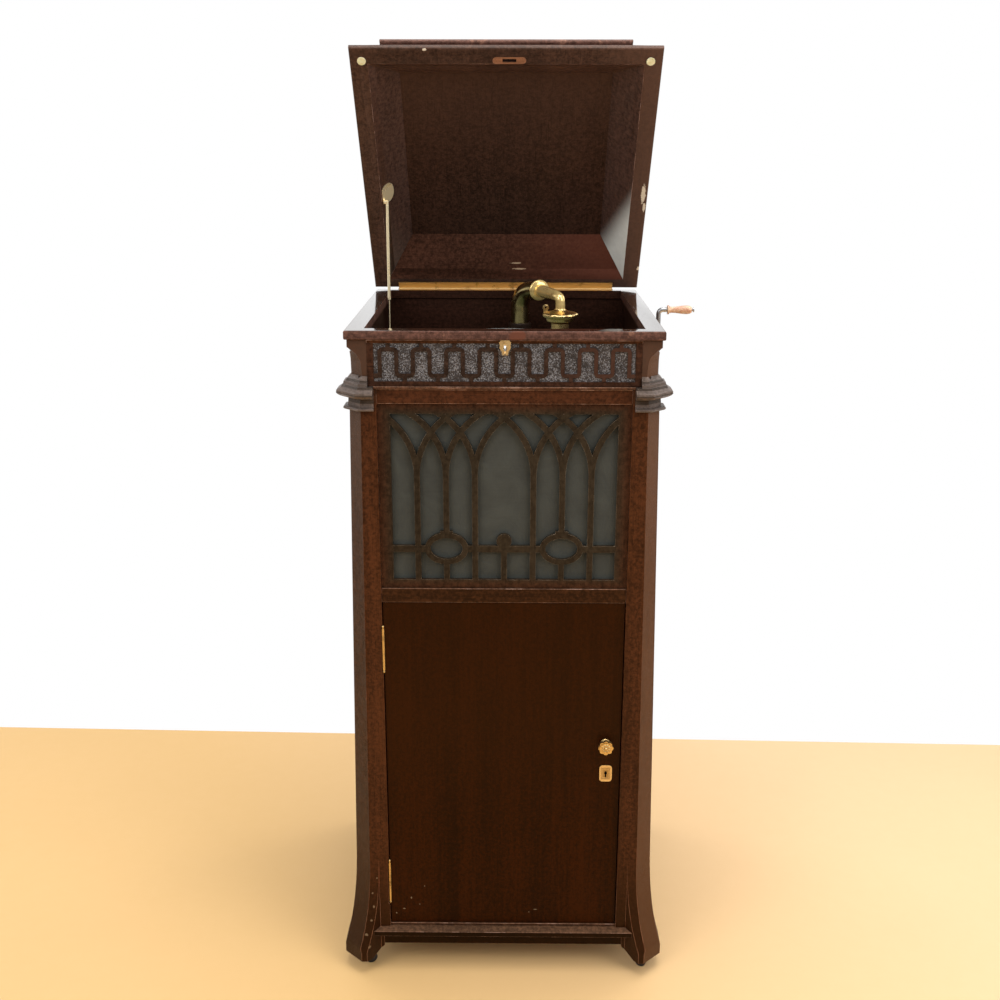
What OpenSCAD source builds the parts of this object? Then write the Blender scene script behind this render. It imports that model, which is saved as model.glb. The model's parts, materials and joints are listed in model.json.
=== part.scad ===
// Upright cabinet gramophone with its lid open on the stay. Millimetres, +Z up, front towards -Y.
// Origin: on the floor under the middle of the overall width, crank included. The cabinet's own
// middle plane is mid_x. The modules draw around that plane, and cab() moves them to the frame.

/* [Rim and well] */
// Width of the top rim
rim_w = 535; // [525:1:545]
// Distance from the rim's front edge to the lid's hinge axis
rim_d = 562; // [550:1:575]
// Height of the rim's top above the floor
rim_top = 1242; // [1230:1:1300]
// Thickness of the rim
rim_h = 15.5; // [12:0.5:18]
// Width of the rim at the sides of the well
rim_side = 32; // [28:1:36]
// Width of the rim in front of the well
rim_front = 27; // [24:1:32]
// Width of the rim behind the well
rim_back = 22; // [20:1:26]
// Depth from the rim's top down to the motor board
well_depth = 92; // [85:1:98]
// Thickness of the motor board
board_t = 12; // [8:1:16]
// Thickness of the boards that line the well
lining_t = 5; // [3:0.5:7]

/* [Posts] */
// Width of each front post's face at the top of its shaft
post_w = 47.5; // [44:0.5:52]
// How far the rim stands past the posts at each side
rim_over = 3.5; // [1:0.5:6]
// How far the rim stands past the posts in front
rim_front_over = 6; // [4:0.5:9]
// How far the sides lean out for each mm of height
side_lean = 0.0191; // [0.01:0.001:0.022]
// How far the front leans out for each mm of height
front_lean = 0.0048; // [0:0.0002:0.005]
// Depth of each post
post_depth = 48; // [44:1:56]
// Width of the canted corner on each side of the arris at the top
cant = 21; // [16:1:24]
// Height where the foot starts to flare
flare_top = 268; // [240:2:300]
// Height of the upright toe of the foot
toe_top = 50; // [44:1:54]
// Height of the foot's underside above the floor
foot_z = 30; // [29:0.5:34]
// How far the foot flares to the side
flare_side = 21.5; // [14:0.5:24]
// How far the foot flares to the front
flare_front = 25; // [18:0.5:26]

/* [Front] */
// Height of the frieze
frieze_h = 78.5; // [74:0.5:80]
// Width of the fret's bars
fret_bar = 7; // [5:0.5:8]
// Plain ground at each end of the fret
fret_end = 10.5; // [9:0.5:14]
// Relief of the fret
fret_t = 2.6; // [1.5:0.1:3]
// Height of the rail under the frieze
top_rail_h = 30.5; // [26:0.5:34]
// Height of the grille
grille_h = 332; // [320:1:340]
// Height of the rail between the grille and the door
mid_rail_h = 26.5; // [20:0.5:32]
// Width of the grille's side stiles
grille_stile = 20; // [16:1:24]
// Thickness of the grille
grille_t = 8; // [5:0.5:9]
// Width of the tracery's bars
tracery_bar = 10; // [8:0.5:12]
// Width of the grille's opening over the distance between its bars
tracery_bays = 7.78; // [7.6:0.01:8]
// Radius of the pointed arches
arch_r = 130; // [120:1:145]
// Thickness of the grille cloth
cloth_t = 1.5; // [0.8:0.1:2]

/* [Door] */
// Thickness of the door
door_t = 20; // [16:1:22]
// Height of the door's lower edge
door_z = 99.5; // [98:0.5:110]
// Gap around the door
door_gap = 1.7; // [1.5:0.1:3]
// Radius of the hinge barrels
barrel_r = 2.5; // [2:0.1:2.5]
// Radius of the hinge pins
pin_r = 1.2; // [0.8:0.1:1.4]
// Radius of the door knob
knob_r = 13.7; // [10:0.1:16]
// Height of the door knob
knob_z = 482; // [450:1:500]
// Distance from the door knob's axis to the door's free edge
knob_inset = 27.4; // [22:0.1:34]

/* [Lid] */
// How far the lid stands past the rim at each side
lid_over = 3; // [0:0.5:6]
// How far the lid stands past the rim in front
lid_front_over = 3; // [0:0.5:6]
// How far the lid is open from closed, in degrees
lid_open = 52.6; // [50:0.1:55]
// Thickness of the lid's edge
lid_edge = 11; // [8:0.5:14]
// Height of the lid over the rim
lid_h = 61; // [56:0.5:68]
// Thickness of the lid's raised top board
lid_board_t = 10; // [6:0.5:12]
// Height of the lid's ceiling over the rim
ceiling_h = 47; // [40:0.5:48]
// Width of the lid's flat front and side bands
lid_band = 31; // [28:0.5:34]
// Radius of the lid's bumpers
bumper_r = 7.5; // [5:0.5:9]

/* [Casters] */
// Radius of the caster wheels
wheel_r = 11; // [9:0.5:12]
// Width of the caster wheels
wheel_w = 9; // [6:0.5:10]
// Trail of the caster wheels
trail = 6.7; // [5:0.1:8]
// Radius of the caster stems
stem_r = 4; // [3:0.5:4.5]

/* [Mechanism] */
// Distance of the turntable's spindle behind the middle
spindle_y = 38; // [34:1:40]
// Radius of the turntable
turntable_r = 146; // [120:1:147]
// Distance of the winding shaft behind the middle
crank_y = 50; // [48:1:54]
// Height of the winding shaft above the floor
crank_z = 1070; // [1066:1:1072]
// Length of the crank's arm
crank_l = 162; // [120:1:164]
// Length of the crank's handle
handle_l = 48; // [40:1:50]
// Radius of the horn's neck
neck_r = 17; // [15:0.5:19]
// Radius of the reproducer
reproducer_r = 35; // [30:0.5:36]
// Half width of the horn's mouth
mouth_half_w = 88; // [70:1:90]
// Half height of the horn's mouth
mouth_half_h = 113; // [90:1:118]

/* [Hidden] */
$fn = 48;

eps = 0.01;
slack = 0.3;        // gap between pieces that move past each other
fit = 0.05;         // radial clearance of a running fit

// Colours
mahogany = "#3d1d13";
mahogany_red = "#4a2115";
bare_wood = "#8a6a48";
brass = "#b08d45";
gilt = "#c9a24d";
steel = "#8b8d90";
iron = "#2a2a2c";

// Widths
shaft_half = rim_w / 2 - rim_over;
shaft_front = rim_d / 2 - rim_front_over;
opening_w = 2 * (shaft_half - post_w);
lid_w = rim_w + 2 * lid_over;
lid_l = rim_d + lid_front_over;
far = 2000;         // past everything, for cuts that go right through

// Heights
rim_z = rim_top - rim_h;
deck_top = rim_top - well_depth;
deck_z = deck_top - board_t;
frieze_z = rim_z - frieze_h;
grille_top = frieze_z - top_rail_h;
grille_z = grille_top - grille_h;
door_top = grille_z - mid_rail_h;
cap_top = frieze_z + 17;
cap_bottom = frieze_z - 43;
ledge_top = 93.6;
ledge_z = 79;
skirt_z = 56;
floor_top = ledge_z + 12;
chamber_floor = grille_z - 9;
shelf_t = 12;

// Overall box: the crank reaches further than the left foot
crank_plane = rim_w / 2 + 23.5;
crank_reach = crank_plane + 19 + handle_l;
foot_reach = shaft_half + side_lean * (cap_bottom - toe_top) + flare_side;
mid_x = (foot_reach - crank_reach) / 2;

// Depths
front_y = -rim_d / 2;
hinge_y = rim_d / 2;
hinge_gap = 3.2;
rim_back_y = hinge_y - hinge_gap;
back_y = shaft_front;
board_back = 32;    // back edge of the lid's top board from the hinge axis
back_t = 8;
door_y = -shaft_front + 3;
rail_y = -shaft_front + 2;
rail_t = 23;
frieze_y = -shaft_front - 1;
well_x = rim_w / 2 - rim_side + 4;
well_front = front_y + rim_front;
well_back = back_y - back_t - lining_t;
panel_in = well_x + lining_t;
panel_out = panel_in + 12;
post_in = opening_w / 2;
post_y = shaft_front - post_depth;
top_in = shaft_half - 34;       // inner edge of the post above the capital
foot_in = shaft_half - 35;      // inner edge of the foot
foot_toe = shaft_half - 12;     // where the foot's underside starts

// In depth the box runs from the toes of the front feet to the open lid's top board
toe_reach = post_front(toe_top) + flare_front;
board_reach = hinge_y - board_back * cos(lid_open) + (lid_h - 2) * sin(lid_open);
mid_y = (toe_reach - board_reach) / 2;
module cab() translate([mid_x, mid_y, 0]) children();
module both() {
    children();
    mirror([1, 0, 0]) children();
}
module box(x0, x1, y0, y1, z0, z1) translate([x0, y0, z0]) cube([x1 - x0, y1 - y0, z1 - z0]);
// A bar whose outline is drawn in (outwards, up), facing the way the angle says
module facing(angle, length = far) rotate([0, 0, angle]) rotate([90, 0, 0])
    linear_extrude(length, center = true) children();
// An outline drawn in (y, z), carried along x
module along_x(x0, x1) translate([x0, 0, 0]) rotate([90, 0, 90]) linear_extrude(x1 - x0) children();
// An outline drawn in (x, z), carried along y
module along_y(y0, y1) translate([0, y1, 0]) rotate([90, 0, 0]) linear_extrude(y1 - y0) children();
module x_rod(r, x0, x1) translate([x0, 0, 0]) rotate([0, 90, 0]) cylinder(r = r, h = x1 - x0);
module y_rod(r, y0, y1) translate([0, y0, 0]) rotate([-90, 0, 0]) cylinder(r = r, h = y1 - y0);
module round_rect(w, h, r) {
    square([w - 2 * r, h], center = true);
    square([w, h - 2 * r], center = true);
    for (i = [-1, 1], j = [-1, 1]) translate([i * (w / 2 - r), j * (h / 2 - r)]) circle(r);
}

// ---- Posts ----
function flare(z) = z >= flare_top ? 0 : pow((flare_top - max(z, toe_top)) / (flare_top - toe_top), 2.8);
function lean(z, k) = k * max(0, cap_bottom - max(z, toe_top));
function post_side(z) = z > cap_bottom ? lookup(z, [[cap_bottom, shaft_half], [cap_top, shaft_half - 5],
    [rim_z - 21, shaft_half - 4.5]]) : shaft_half + lean(z, side_lean) + flare_side * flare(z);
function post_front(z) = shaft_front + lean(max(z, flare_top), front_lean);
function foot_front(z) = post_front(z) + flare_front * flare(z);
function cant_at(z) = cant + 0.0088 * max(0, cap_bottom - z);
function cant_plane(z) = (post_side(z) - cant_at(z) + foot_front(z)) / sqrt(2);

flare_step = (flare_top - toe_top) / 12;
flare_zs = [for (i = [0 : 10]) toe_top + flare_step * i];
// The cant bends between the bends of the faces beside it, so that no three edges meet
cant_zs = [for (i = [0 : 9]) toe_top + flare_step * (i + 0.4)];
stop_z = rim_z - 13.5;      // where the canted corner stops below the rim
stop_h = 26;
scoop = [for (i = [0 : 8]) let (t = i / 8, z = stop_z - stop_h + stop_h * t)
    [(post_side(z) + shaft_front - (cant - 2) * cos(90 * t)) / sqrt(2), z]];

module post_side_outline() polygon(concat([[foot_toe, foot_z], [post_side(toe_top), foot_z]],
    [for (z = flare_zs) [post_side(z), z]],
    [[post_side(cap_bottom), cap_bottom], [post_side(cap_top), cap_top],
    [post_side(stop_z - 8), stop_z - 8], [post_side(stop_z - 6) - 3, stop_z - 6],
    [post_side(stop_z) + 3.5, stop_z + 0.8], [post_side(stop_z) + 3.5, rim_z],
    [top_in, rim_z], [top_in, frieze_z], [post_in, frieze_z], [post_in, ledge_z],
    [foot_in, ledge_z], [foot_in, toe_top]]));
module post_front_outline() polygon([[post_y, foot_z], [post_front(toe_top), foot_z],
    [post_front(flare_top), flare_top], [post_front(cap_bottom), cap_bottom], [shaft_front, rim_z],
    [post_y, rim_z]]);
module foot_front_outline() polygon(concat([[post_y, foot_z], [foot_front(toe_top), foot_z]],
    [for (z = flare_zs) [foot_front(z), z]], [[post_front(flare_top) - 2, flare_top + 20],
    [post_y, flare_top + 20]]));
module cant_outline() polygon(concat([[0, foot_z - 1], [cant_plane(cant_zs[0]), foot_z - 1]],
    [for (z = cant_zs) [cant_plane(z), z]], [[cant_plane(cap_bottom), cap_bottom + 6],
    [cant_plane(cap_top), cap_top - 6]], scoop, [[far, stop_z], [far, rim_z], [0, rim_z]]));
// The foot's inner corner is canted too, where it comes forward of the skirt
inner_cant = 43.4 / sqrt(2);
module well_cut() box(-panel_in, panel_in, well_front - lining_t, well_back + lining_t, deck_z, rim_top);

module front_post_body() difference() {
    intersection() {
        facing(0) post_side_outline();
        facing(-45) cant_outline();
        union() {
            facing(-90) post_front_outline();
            intersection() {
                facing(-90) foot_front_outline();
                facing(-135) polygon([[-far, foot_z - 1], [inner_cant, foot_z - 1],
                    [inner_cant, flare_top + 30], [-far, flare_top + 30]]);
            }
        }
    }
    well_cut();
}
module stem_hole(y) translate([stem_x, y, foot_z - 1]) cylinder(r = stem_r + 2, h = stem_len + 2);

stem_x = shaft_half - 1;
stem_front = 10 - shaft_front;
stem_rear = shaft_front - 24;
stem_len = 30;
latch_y = door_y + door_t;

module front_posts() color(mahogany) cab() difference() {
    both() difference() {
        front_post_body();
        stem_hole(stem_front);
    }
    // mortise for the door's latch, and housings for its hinges
    box(post_in - 1, post_in + 7, latch_y - 0.5, latch_y + 7, knob_z - 9, knob_z + 20);
    for (s = hinge_spans) box(hinge_x - barrel_r - slack, -post_in + 1, -far,
        hinge_line_y + barrel_r + slack, s[0] - 6, s[1] + 6);
}
module rear_post_body() difference() {
    intersection() {
        facing(0) post_side_outline();
        box(0, far, post_y, back_y, 0, rim_z);
    }
    well_cut();
}
module rear_posts() color(mahogany) cab() difference() {
    both() difference() {
        rear_post_body();
        stem_hole(stem_rear);
    }
    // room for the stay's lower end when the lid is shut
    box(eye_x - 7, -post_in + 1, post_y - 1, back_y - back_t - 4, deck_z - 80, deck_z + 1);
}

// ---- Capitals ----
cap_steps = [[0, 0], [1, 9], [3.5, 11], [6, 9], [6.5, 3], [22, 3], [22, 11], [24, 16], [26.5, 20.5],
    [29.5, 23.5], [34, 23.5], [36, 20.5], [39, 16], [43, 14.5], [44, 12.5], [48.5, 12.5], [49, 9],
    [51, 8.5], [54, 6.5], [57.5, 3], [60, 1.2], [60, 0]];
module cap_outline(base) polygon(concat([[100, cap_bottom]],
    [for (s = cap_steps) [base(cap_bottom + s[0]) + s[1], cap_bottom + s[0]]], [[100, cap_top]]));
module cap_side() facing(0) cap_outline(function(z) post_side(z));
module cap_corner() intersection() {
    cap_side();
    facing(-90) cap_outline(function(z) shaft_front);
    facing(-45) cap_outline(function(z) cant_plane(min(z, stop_z - stop_h)));
}
module post_capitals() color(mahogany) cab() both() {
    difference() {
        intersection() {
            cap_corner();
            union() {
                box(post_in + 4, far, -far, -post_y, cap_bottom, frieze_z);
                box(top_in, far, -far, -post_y, frieze_z, cap_top);
            }
        }
        front_post_body();
        box(0, panel_in + 1, -shaft_front + 1, 0, 0, rim_top);
    }
    difference() {
        intersection() {
            cap_side();
            box(panel_in + 1, far, post_y, back_y, cap_bottom, cap_top);
        }
        rear_post_body();
    }
}

// ---- Case ----
module side_panels() color(mahogany) cab() both() {
    difference() {
        union() {
            box(panel_in, panel_out, -post_y, post_y, skirt_z + 1, rim_z);
            box(panel_out - eps, panel_out + 4, -post_y, post_y, grille_top, rim_z);
            box(panel_out - eps, panel_out + 4, -post_y, post_y, skirt_z + 1, ledge_top + 30);
            for (j = [-1, 1]) translate([0, j * (post_y - 20), 0])
                box(panel_out - eps, panel_out + 4, -20, 20, ledge_top + 30 - eps, grille_top + eps);
        }
        translate([0, crank_y, crank_z]) x_rod(shaft_r + slack + 1, panel_in - 1, panel_out + 6);
    }
}
module back_panel() color(mahogany_red) cab() {
    box(-post_in, post_in, back_y - back_t, back_y, skirt_z + 1, frieze_z);
    box(-top_in, top_in, back_y - back_t, back_y, frieze_z, rim_z);
}
module shelf_plan(z, t, front) translate([0, 0, z]) linear_extrude(t) {
    translate([-post_in, front]) square([2 * post_in, back_y - back_t - front]);
    translate([-panel_in, -post_y]) square([2 * panel_in, 2 * post_y]);
}
rail_back = rail_y + rail_t;
module floor_board() color(bare_wood) cab() shelf_plan(ledge_z, floor_top - ledge_z, rail_back);

ledge_front = -front_y + 10;
module base_mouldings() color(mahogany_red) cab() {
    // skirt between the feet
    box(-foot_in, foot_in, -post_front(ledge_z) - 1, rail_y, skirt_z, ledge_z);
    // ledge with mitred ends that die into the feet
    difference() {
        intersection() {
            along_x(-foot_reach, foot_reach) polygon([[-ledge_front, ledge_z], [rail_y, ledge_z],
                [rail_y, ledge_top], [-post_front(ledge_z), ledge_top], [-ledge_front, ledge_top - 4.8]]);
            translate([0, 0, ledge_z]) linear_extrude(ledge_top - ledge_z) polygon([[-ledge_end(-rail_back),
                rail_back], [ledge_end(-rail_back), rail_back], [ledge_end(ledge_front), -ledge_front],
                [-ledge_end(ledge_front), -ledge_front]]);
        }
        both() front_post_body();
    }
    both() {
        box(panel_out + 4, panel_out + 8, -post_y, post_y, skirt_z + 1, ledge_z);
        along_y(-post_y, post_y) polygon([[panel_out + 4, ledge_z], [panel_out + 17, ledge_z],
            [panel_out + 17, ledge_top - 4.8], [panel_out + 4, ledge_top]]);
    }
}
function ledge_end(d) = d - inner_cant * sqrt(2) - 0.05;

module rim_bar(w, h, r) translate([0, h / 2]) round_rect(w, h, r);
module top_rim() color(mahogany_red) cab() difference() {
    intersection() {
        along_y(front_y, rim_back_y) translate([0, rim_z]) rim_bar(rim_w, rim_h, 3);
        along_x(-rim_w / 2, rim_w / 2) translate([(front_y + rim_back_y) / 2, rim_z])
            rim_bar(rim_back_y - front_y, rim_h, 3);
    }
    box(-rim_w / 2 + rim_side, rim_w / 2 - rim_side, well_front, rim_back_y - rim_back, 0, far);
    box(hinge_x0 - 0.5, hinge_x1 + 0.5, hinge_y - hinge_leaf - 0.5, far, rim_top - leaf_t - leaf_gap, far);
    bolt_slot(rim_z - 1, rim_top + 1);
}
module frieze_panel() color(mahogany) cab() difference() {
    box(-top_in, top_in, frieze_y, well_front - lining_t, frieze_z, rim_z);
    box(-top_in + 11, top_in - 11, frieze_y - 1, frieze_y + 2, frieze_z + 8.3, rim_z - 6);
    lock_pocket();
    translate([lock_x, 0, key_z]) y_rod(3.2, frieze_y - 1, lock_y);
}

// Running meander: arches and troughs share their upright bars
fret_step = (top_in - 11 - fret_end) / 7.5;
fret_low = frieze_z + 14.7;
fret_high = rim_z - 12.4;
module fret_arch(x, up) translate([x, (fret_low + fret_high) / 2]) mirror([0, up ? 0 : 1]) {
    half = (fret_high - fret_low) / 2;
    w = fret_step + fret_bar;
    difference() {
        union() {
            translate([0, half - 10]) round_rect(w, 20, 9);
            translate([-w / 2, -1]) square([w, half - 9]);
        }
        translate([-fret_step / 2 + fret_bar / 2, -2]) square([fret_step - fret_bar, half - fret_bar]);
        translate([0, half - fret_bar - 4]) round_rect(fret_step - fret_bar, 8, 2);
    }
    translate([-fret_bar / 2, half - 1]) square([fret_bar, 7.2]);
}
module frieze_fret() color(mahogany_red) cab() along_y(frieze_y + 2 - fret_t, frieze_y + 2)
    intersection() {
        union() {
            for (k = [-4 : 3]) fret_arch((2 * k + 1) * fret_step, true);
            for (k = [-3 : 3]) fret_arch(2 * k * fret_step, false);
            for (m = [0, 1]) mirror([m, 0]) {
                translate([7.5 * fret_step - fret_bar / 2, fret_low])
                    square([fret_bar, (fret_high - fret_low) / 2]);
                translate([7.5 * fret_step, fret_low]) square([top_in - 7.5 * fret_step, fret_bar]);
            }
        }
        translate([-top_in + 11, frieze_z + 8.3]) square([2 * top_in - 22, frieze_h - 14.3]);
    }

module front_rails() color(mahogany_red) cab() {
    box(-post_in, post_in, rail_y, well_front - lining_t, grille_top, frieze_z);
    difference() {
        along_x(-post_in - 4, post_in + 4) polygon([[rail_y, frieze_z - 6], [frieze_y - 1, frieze_z - 4],
            [frieze_y - 3.5, frieze_z - 3], [frieze_y - 3.5, frieze_z], [rail_y, frieze_z]]);
        both() front_post_body();
    }
    box(-post_in, post_in, rail_y, rail_back, door_top, grille_z);
    box(-post_in, post_in, rail_y, rail_back, ledge_z, door_z - 4.5);
    box(-post_in, post_in, rail_y - 3, rail_back, door_z - 4.5, door_z - 0.5);
    along_x(-top_in, top_in) polygon([[frieze_y, rim_z - 6], [frieze_y, rim_z], [frieze_y - 3, rim_z],
        [frieze_y - 2.2, rim_z - 3]]);
}

// ---- Grille ----
spring_z = grille_z + 204.5;
transom_z = grille_z + 66.5;
ring_z = grille_z + 72.7;
grille_front = door_y + 4;
grille_inner_w = opening_w - 2 * grille_stile - 4;
tracery_step = grille_inner_w / tracery_bays;
ring_x = 2 * tracery_step + 0.6;
module arch_band(x, way) translate([x, spring_z]) mirror([way, 0]) intersection() {
    translate([arch_r, 0]) difference() {
        circle(arch_r + tracery_bar / 2, $fn = 96);
        circle(arch_r - tracery_bar / 2, $fn = 96);
    }
    translate([-tracery_bar, 0]) square([arch_r, 125]);
}
module ring_oval(a, b) scale([1, b / a]) circle(a, $fn = 64);
module tracery_outline() {
    opening_h = grille_h - 33;
    difference() {
        translate([-post_in + 0.2, grille_z + 0.1]) square([opening_w - 0.4, grille_h - 0.2]);
        translate([-grille_inner_w / 2, grille_z + 15]) square([grille_inner_w, opening_h]);
    }
    intersection() {
        translate([-grille_inner_w / 2 - 1, grille_z + 14]) square([grille_inner_w + 2, opening_h + 2]);
        difference() {
            union() {
                for (k = [-3, -2, -1, 1, 2, 3]) {
                    x = k * tracery_step + sign(k) * 0.5;
                    translate([x - tracery_bar / 2, grille_z]) square([tracery_bar, spring_z - grille_z + 1]);
                    arch_band(x, 0);
                    arch_band(x, 1);
                }
                translate([-tracery_bar / 2, grille_z]) square([tracery_bar, 80]);
                translate([0, grille_z + 87]) circle(13);
                translate([-grille_inner_w / 2, transom_z]) square([grille_inner_w, 11.5]);
                for (s = [-1, 1]) translate([s * ring_x, ring_z]) {
                    ring_oval(38, 29);
                    translate([-11, 26]) square([22, 6]);
                }
            }
            for (s = [-1, 1]) translate([s * ring_x, ring_z]) ring_oval(28.2, 19.5);
        }
    }
}
module grille_tracery() color(mahogany) cab() along_y(grille_front, grille_front + grille_t)
    tracery_outline();
module grille_cloth() color("#5b625c") cab() box(-post_in + 3, post_in - 3,
    grille_front + grille_t + slack, grille_front + grille_t + slack + cloth_t, grille_z + 3, grille_top - 3);

// ---- Record compartment ----
mid_shelf = (floor_top + chamber_floor) / 2 - 6;
divider_t = 6;
divider_front = rail_back + 12;
module record_shelves() color(bare_wood) cab() {
    shelf_plan(chamber_floor - shelf_t, shelf_t, rail_back);
    shelf_plan(mid_shelf, shelf_t, divider_front);
    for (x = [-1, 0, 1] * opening_w / 4) {
        box(x - divider_t / 2, x + divider_t / 2, divider_front, back_y - back_t, floor_top, mid_shelf);
        box(x - divider_t / 2, x + divider_t / 2, divider_front, back_y - back_t, mid_shelf + shelf_t,
            chamber_floor - shelf_t);
    }
}

// ---- Well ----
neck_x = 28.6;
neck_y = hinge_y - 66;
eye_x = -well_x + 10.5;
eye_y = hinge_y - 147;
eye_z = deck_top + 26;
module motor_board() color(mahogany) cab() difference() {
    box(-panel_in, panel_in, well_front - lining_t, well_back + lining_t, deck_z, deck_top);
    translate([neck_x, neck_y, 0]) cylinder(r = neck_r + 0.5, h = far);
    translate([0, spindle_y, 0]) cylinder(r = spindle_r + 2, h = far);
    translate([brake_x, brake_y, 0]) cylinder(r = 3 + fit, h = far);
    box(eye_x - 5, eye_x + 5, eye_y - 12, eye_y + 58, 0, far);
}
module well_lining() color(mahogany_red) cab() difference() {
    box(-panel_in, panel_in, well_front - lining_t, well_back + lining_t, deck_top, rim_z);
    box(-well_x, well_x, well_front, well_back, 0, far);
    lock_pocket();
    translate([0, eye_y, eye_z]) x_rod(3, -panel_in - 1, -well_x + 1);
}

// ---- Lid lock ----
lock_x = 1;
lock_y = front_y + 15;
lock_back = well_front - 1;
key_z = rim_z - 14;
bolt_x = 5.8;
bolt_w = 12;
bolt_y = front_y + 21;
bolt_travel = 6;
module lock_pocket() box(bolt_x - 26, bolt_x + 26, lock_y, lock_back, rim_z - 38, rim_z + 1);
module bolt_slot(z0, z1, gap = slack) box(bolt_x - bolt_w / 2 - gap, bolt_x + bolt_w / 2 + gap,
    bolt_y - 2.5 - gap, bolt_y + 2.5 + gap, z0, z1);
module lid_lock() color(steel) cab() difference() {
    box(bolt_x - 25.9, bolt_x + 25.9, lock_y + 0.1, lock_back - 0.1, rim_z - 37.9, rim_z);
    bolt_slot(rim_z - 26, rim_z + 1);
    translate([lock_x, 0, key_z]) y_rod(2.5 + fit, lock_y - 1, lock_y + 3);
}
module lid_bolt() color(steel) cab() bolt_slot(rim_z - 20, rim_top - 0.5, 0);
shield = [[-7.2, 0], [7.2, 0], [8.6, -2.6], [10.2, -3], [8.8, -8], [9.4, -13], [5.6, -19], [5, -24.5],
    [-5, -24.5], [-5.6, -19], [-9.4, -13], [-8.8, -8], [-10.2, -3], [-8.6, -2.6]];
module lid_escutcheon() color(gilt) cab() difference() {
    along_y(frieze_y - 4.4, frieze_y + 1.9) translate([lock_x, rim_z]) difference() {
        polygon(shield);
        translate([0, key_z - rim_z]) circle(3.2);
        translate([-1.4, key_z - rim_z - 8]) square([2.8, 7]);
    }
    box(-20, 20, frieze_y - 3.1, frieze_y + 3, rim_z - 6.1, rim_z + 1);
}
module lid_key() color("silver") cab() translate([lock_x, 0, key_z]) {
    y_rod(2.5, frieze_y - 9, lock_y + 2.5);
    translate([0, frieze_y - 15, 0]) rotate([0, 90, 0]) difference() {
        cylinder(r = 8, h = 2.6, center = true);
        cylinder(r = 4.5, h = 4, center = true);
    }
}

// ---- Door ----
door_half = post_in - door_gap;
hinge_x = -post_in + door_gap / 2;
hinge_line_y = door_y - barrel_r - 0.5;
hinge_spans = [[148.5, 232], [629, 710]];
knob_x = door_half - knob_inset;
lock_plate_z = knob_z - 60;
module door_panel() color(mahogany) cab() difference() {
    box(-door_half, door_half, door_y, door_y + door_t, door_z, door_top - 1);
    translate([knob_x, 0, knob_z]) y_rod(4 + fit, door_y - 1, door_y + door_t + 1);
    translate([knob_x + 2, 0, lock_plate_z]) {
        y_rod(2.4, door_y - 1, door_y + door_t + 1);
        box(-1.2, 1.2, door_y - 1, door_y + door_t + 1, -8, 0);
    }
}
// Each hinge has five knuckles; the even ones belong to the fixed leaf
module knuckles(span, moving) {
    step = (span[1] - span[0]) / 5;
    for (k = [0 : 4]) if ((k % 2 == 1) == moving) translate([hinge_x, hinge_line_y, span[0] + k * step])
        cylinder(r = barrel_r, h = step - 0.2);
}
module leaf(span, x0, x1, moving) {
    step = (span[1] - span[0]) / 5;
    box(x0, x1, hinge_line_y + barrel_r + slack, door_y + 17, span[0], span[1] - 0.2);
    for (k = [0 : 4]) if ((k % 2 == 1) == moving)
        box(x0, x1, hinge_line_y, door_y, span[0] + k * step, span[0] + (k + 1) * step - 0.2);
}
module door_hinge_fixed() color(brass) cab() for (s = hinge_spans) {
    knuckles(s, false);
    difference() {
        leaf(s, -post_in, hinge_x - 0.1, false);
        translate([hinge_x, hinge_line_y, s[0] - 1]) cylinder(r = pin_r - 0.1, h = 100);
    }
    translate([hinge_x, hinge_line_y, s[0] - 2]) cylinder(r = pin_r, h = s[1] - s[0] + 4);
    for (z = [s[0] - 3, s[1] + 3]) translate([hinge_x, hinge_line_y, z]) sphere(r = barrel_r);
}
module door_hinge_moving() color(brass) cab() for (s = hinge_spans) difference() {
    union() {
        knuckles(s, true);
        leaf(s, hinge_x + 0.1, -door_half, true);
    }
    translate([hinge_x, hinge_line_y, s[0] - 5]) cylinder(r = pin_r + fit, h = s[1] - s[0] + 10);
}
module door_lock_plate() color(gilt) cab() translate([knob_x + 2, 0, lock_plate_z])
    along_y(door_y - 1.4, door_y) difference() {
        round_rect(23, 33, 6);
        circle(2.6);
        translate([-1.3, -8]) square([2.6, 8]);
    }
module door_knob() color(brass) cab() translate([knob_x, 0, knob_z]) {
    y_rod(4, door_y - 12, door_y + door_t + 5.5);
    translate([0, door_y - slack, 0]) rotate([90, 0, 0]) cylinder(r1 = 10, r2 = 7, h = 4);
    translate([0, door_y - 10, 0]) rotate([90, 0, 0]) {
        linear_extrude(8) for (a = [0 : 45 : 315]) rotate(a) translate([knob_r - 4.4, 0]) circle(4.4);
        cylinder(r = knob_r - 3, h = 10);
        for (a = [22.5 : 45 : 337.5]) rotate(a) translate([6, 0, 8]) sphere(r = 3.4);
        translate([0, 0, 9]) sphere(r = 4);
    }
    // latch cam behind the door
    translate([0, door_y + door_t + 1.5, 0]) rotate([-90, 0, 0]) linear_extrude(4) {
        circle(7);
        translate([-5, -33]) square([10, 33]);
    }
}

// ---- Lid: drawn closed with its hinge axis on x, forward along -y and up along z ----
module open_lid() translate([mid_x, mid_y + hinge_y, rim_top]) rotate([-lid_open, 0, 0]) children();
lid_back = hinge_gap;
slope_h = lid_h - lid_board_t;
board_x = lid_w / 2 - 48.5;
board_front = lid_l - 22;
ceiling_x = lid_w / 2 - 80.5;
ceiling_front = lid_l - 81;
ceiling_back = 106;
inner_back = 28;
function slope(a, b, h) = a + (b - a) * h / ceiling_h;
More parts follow.
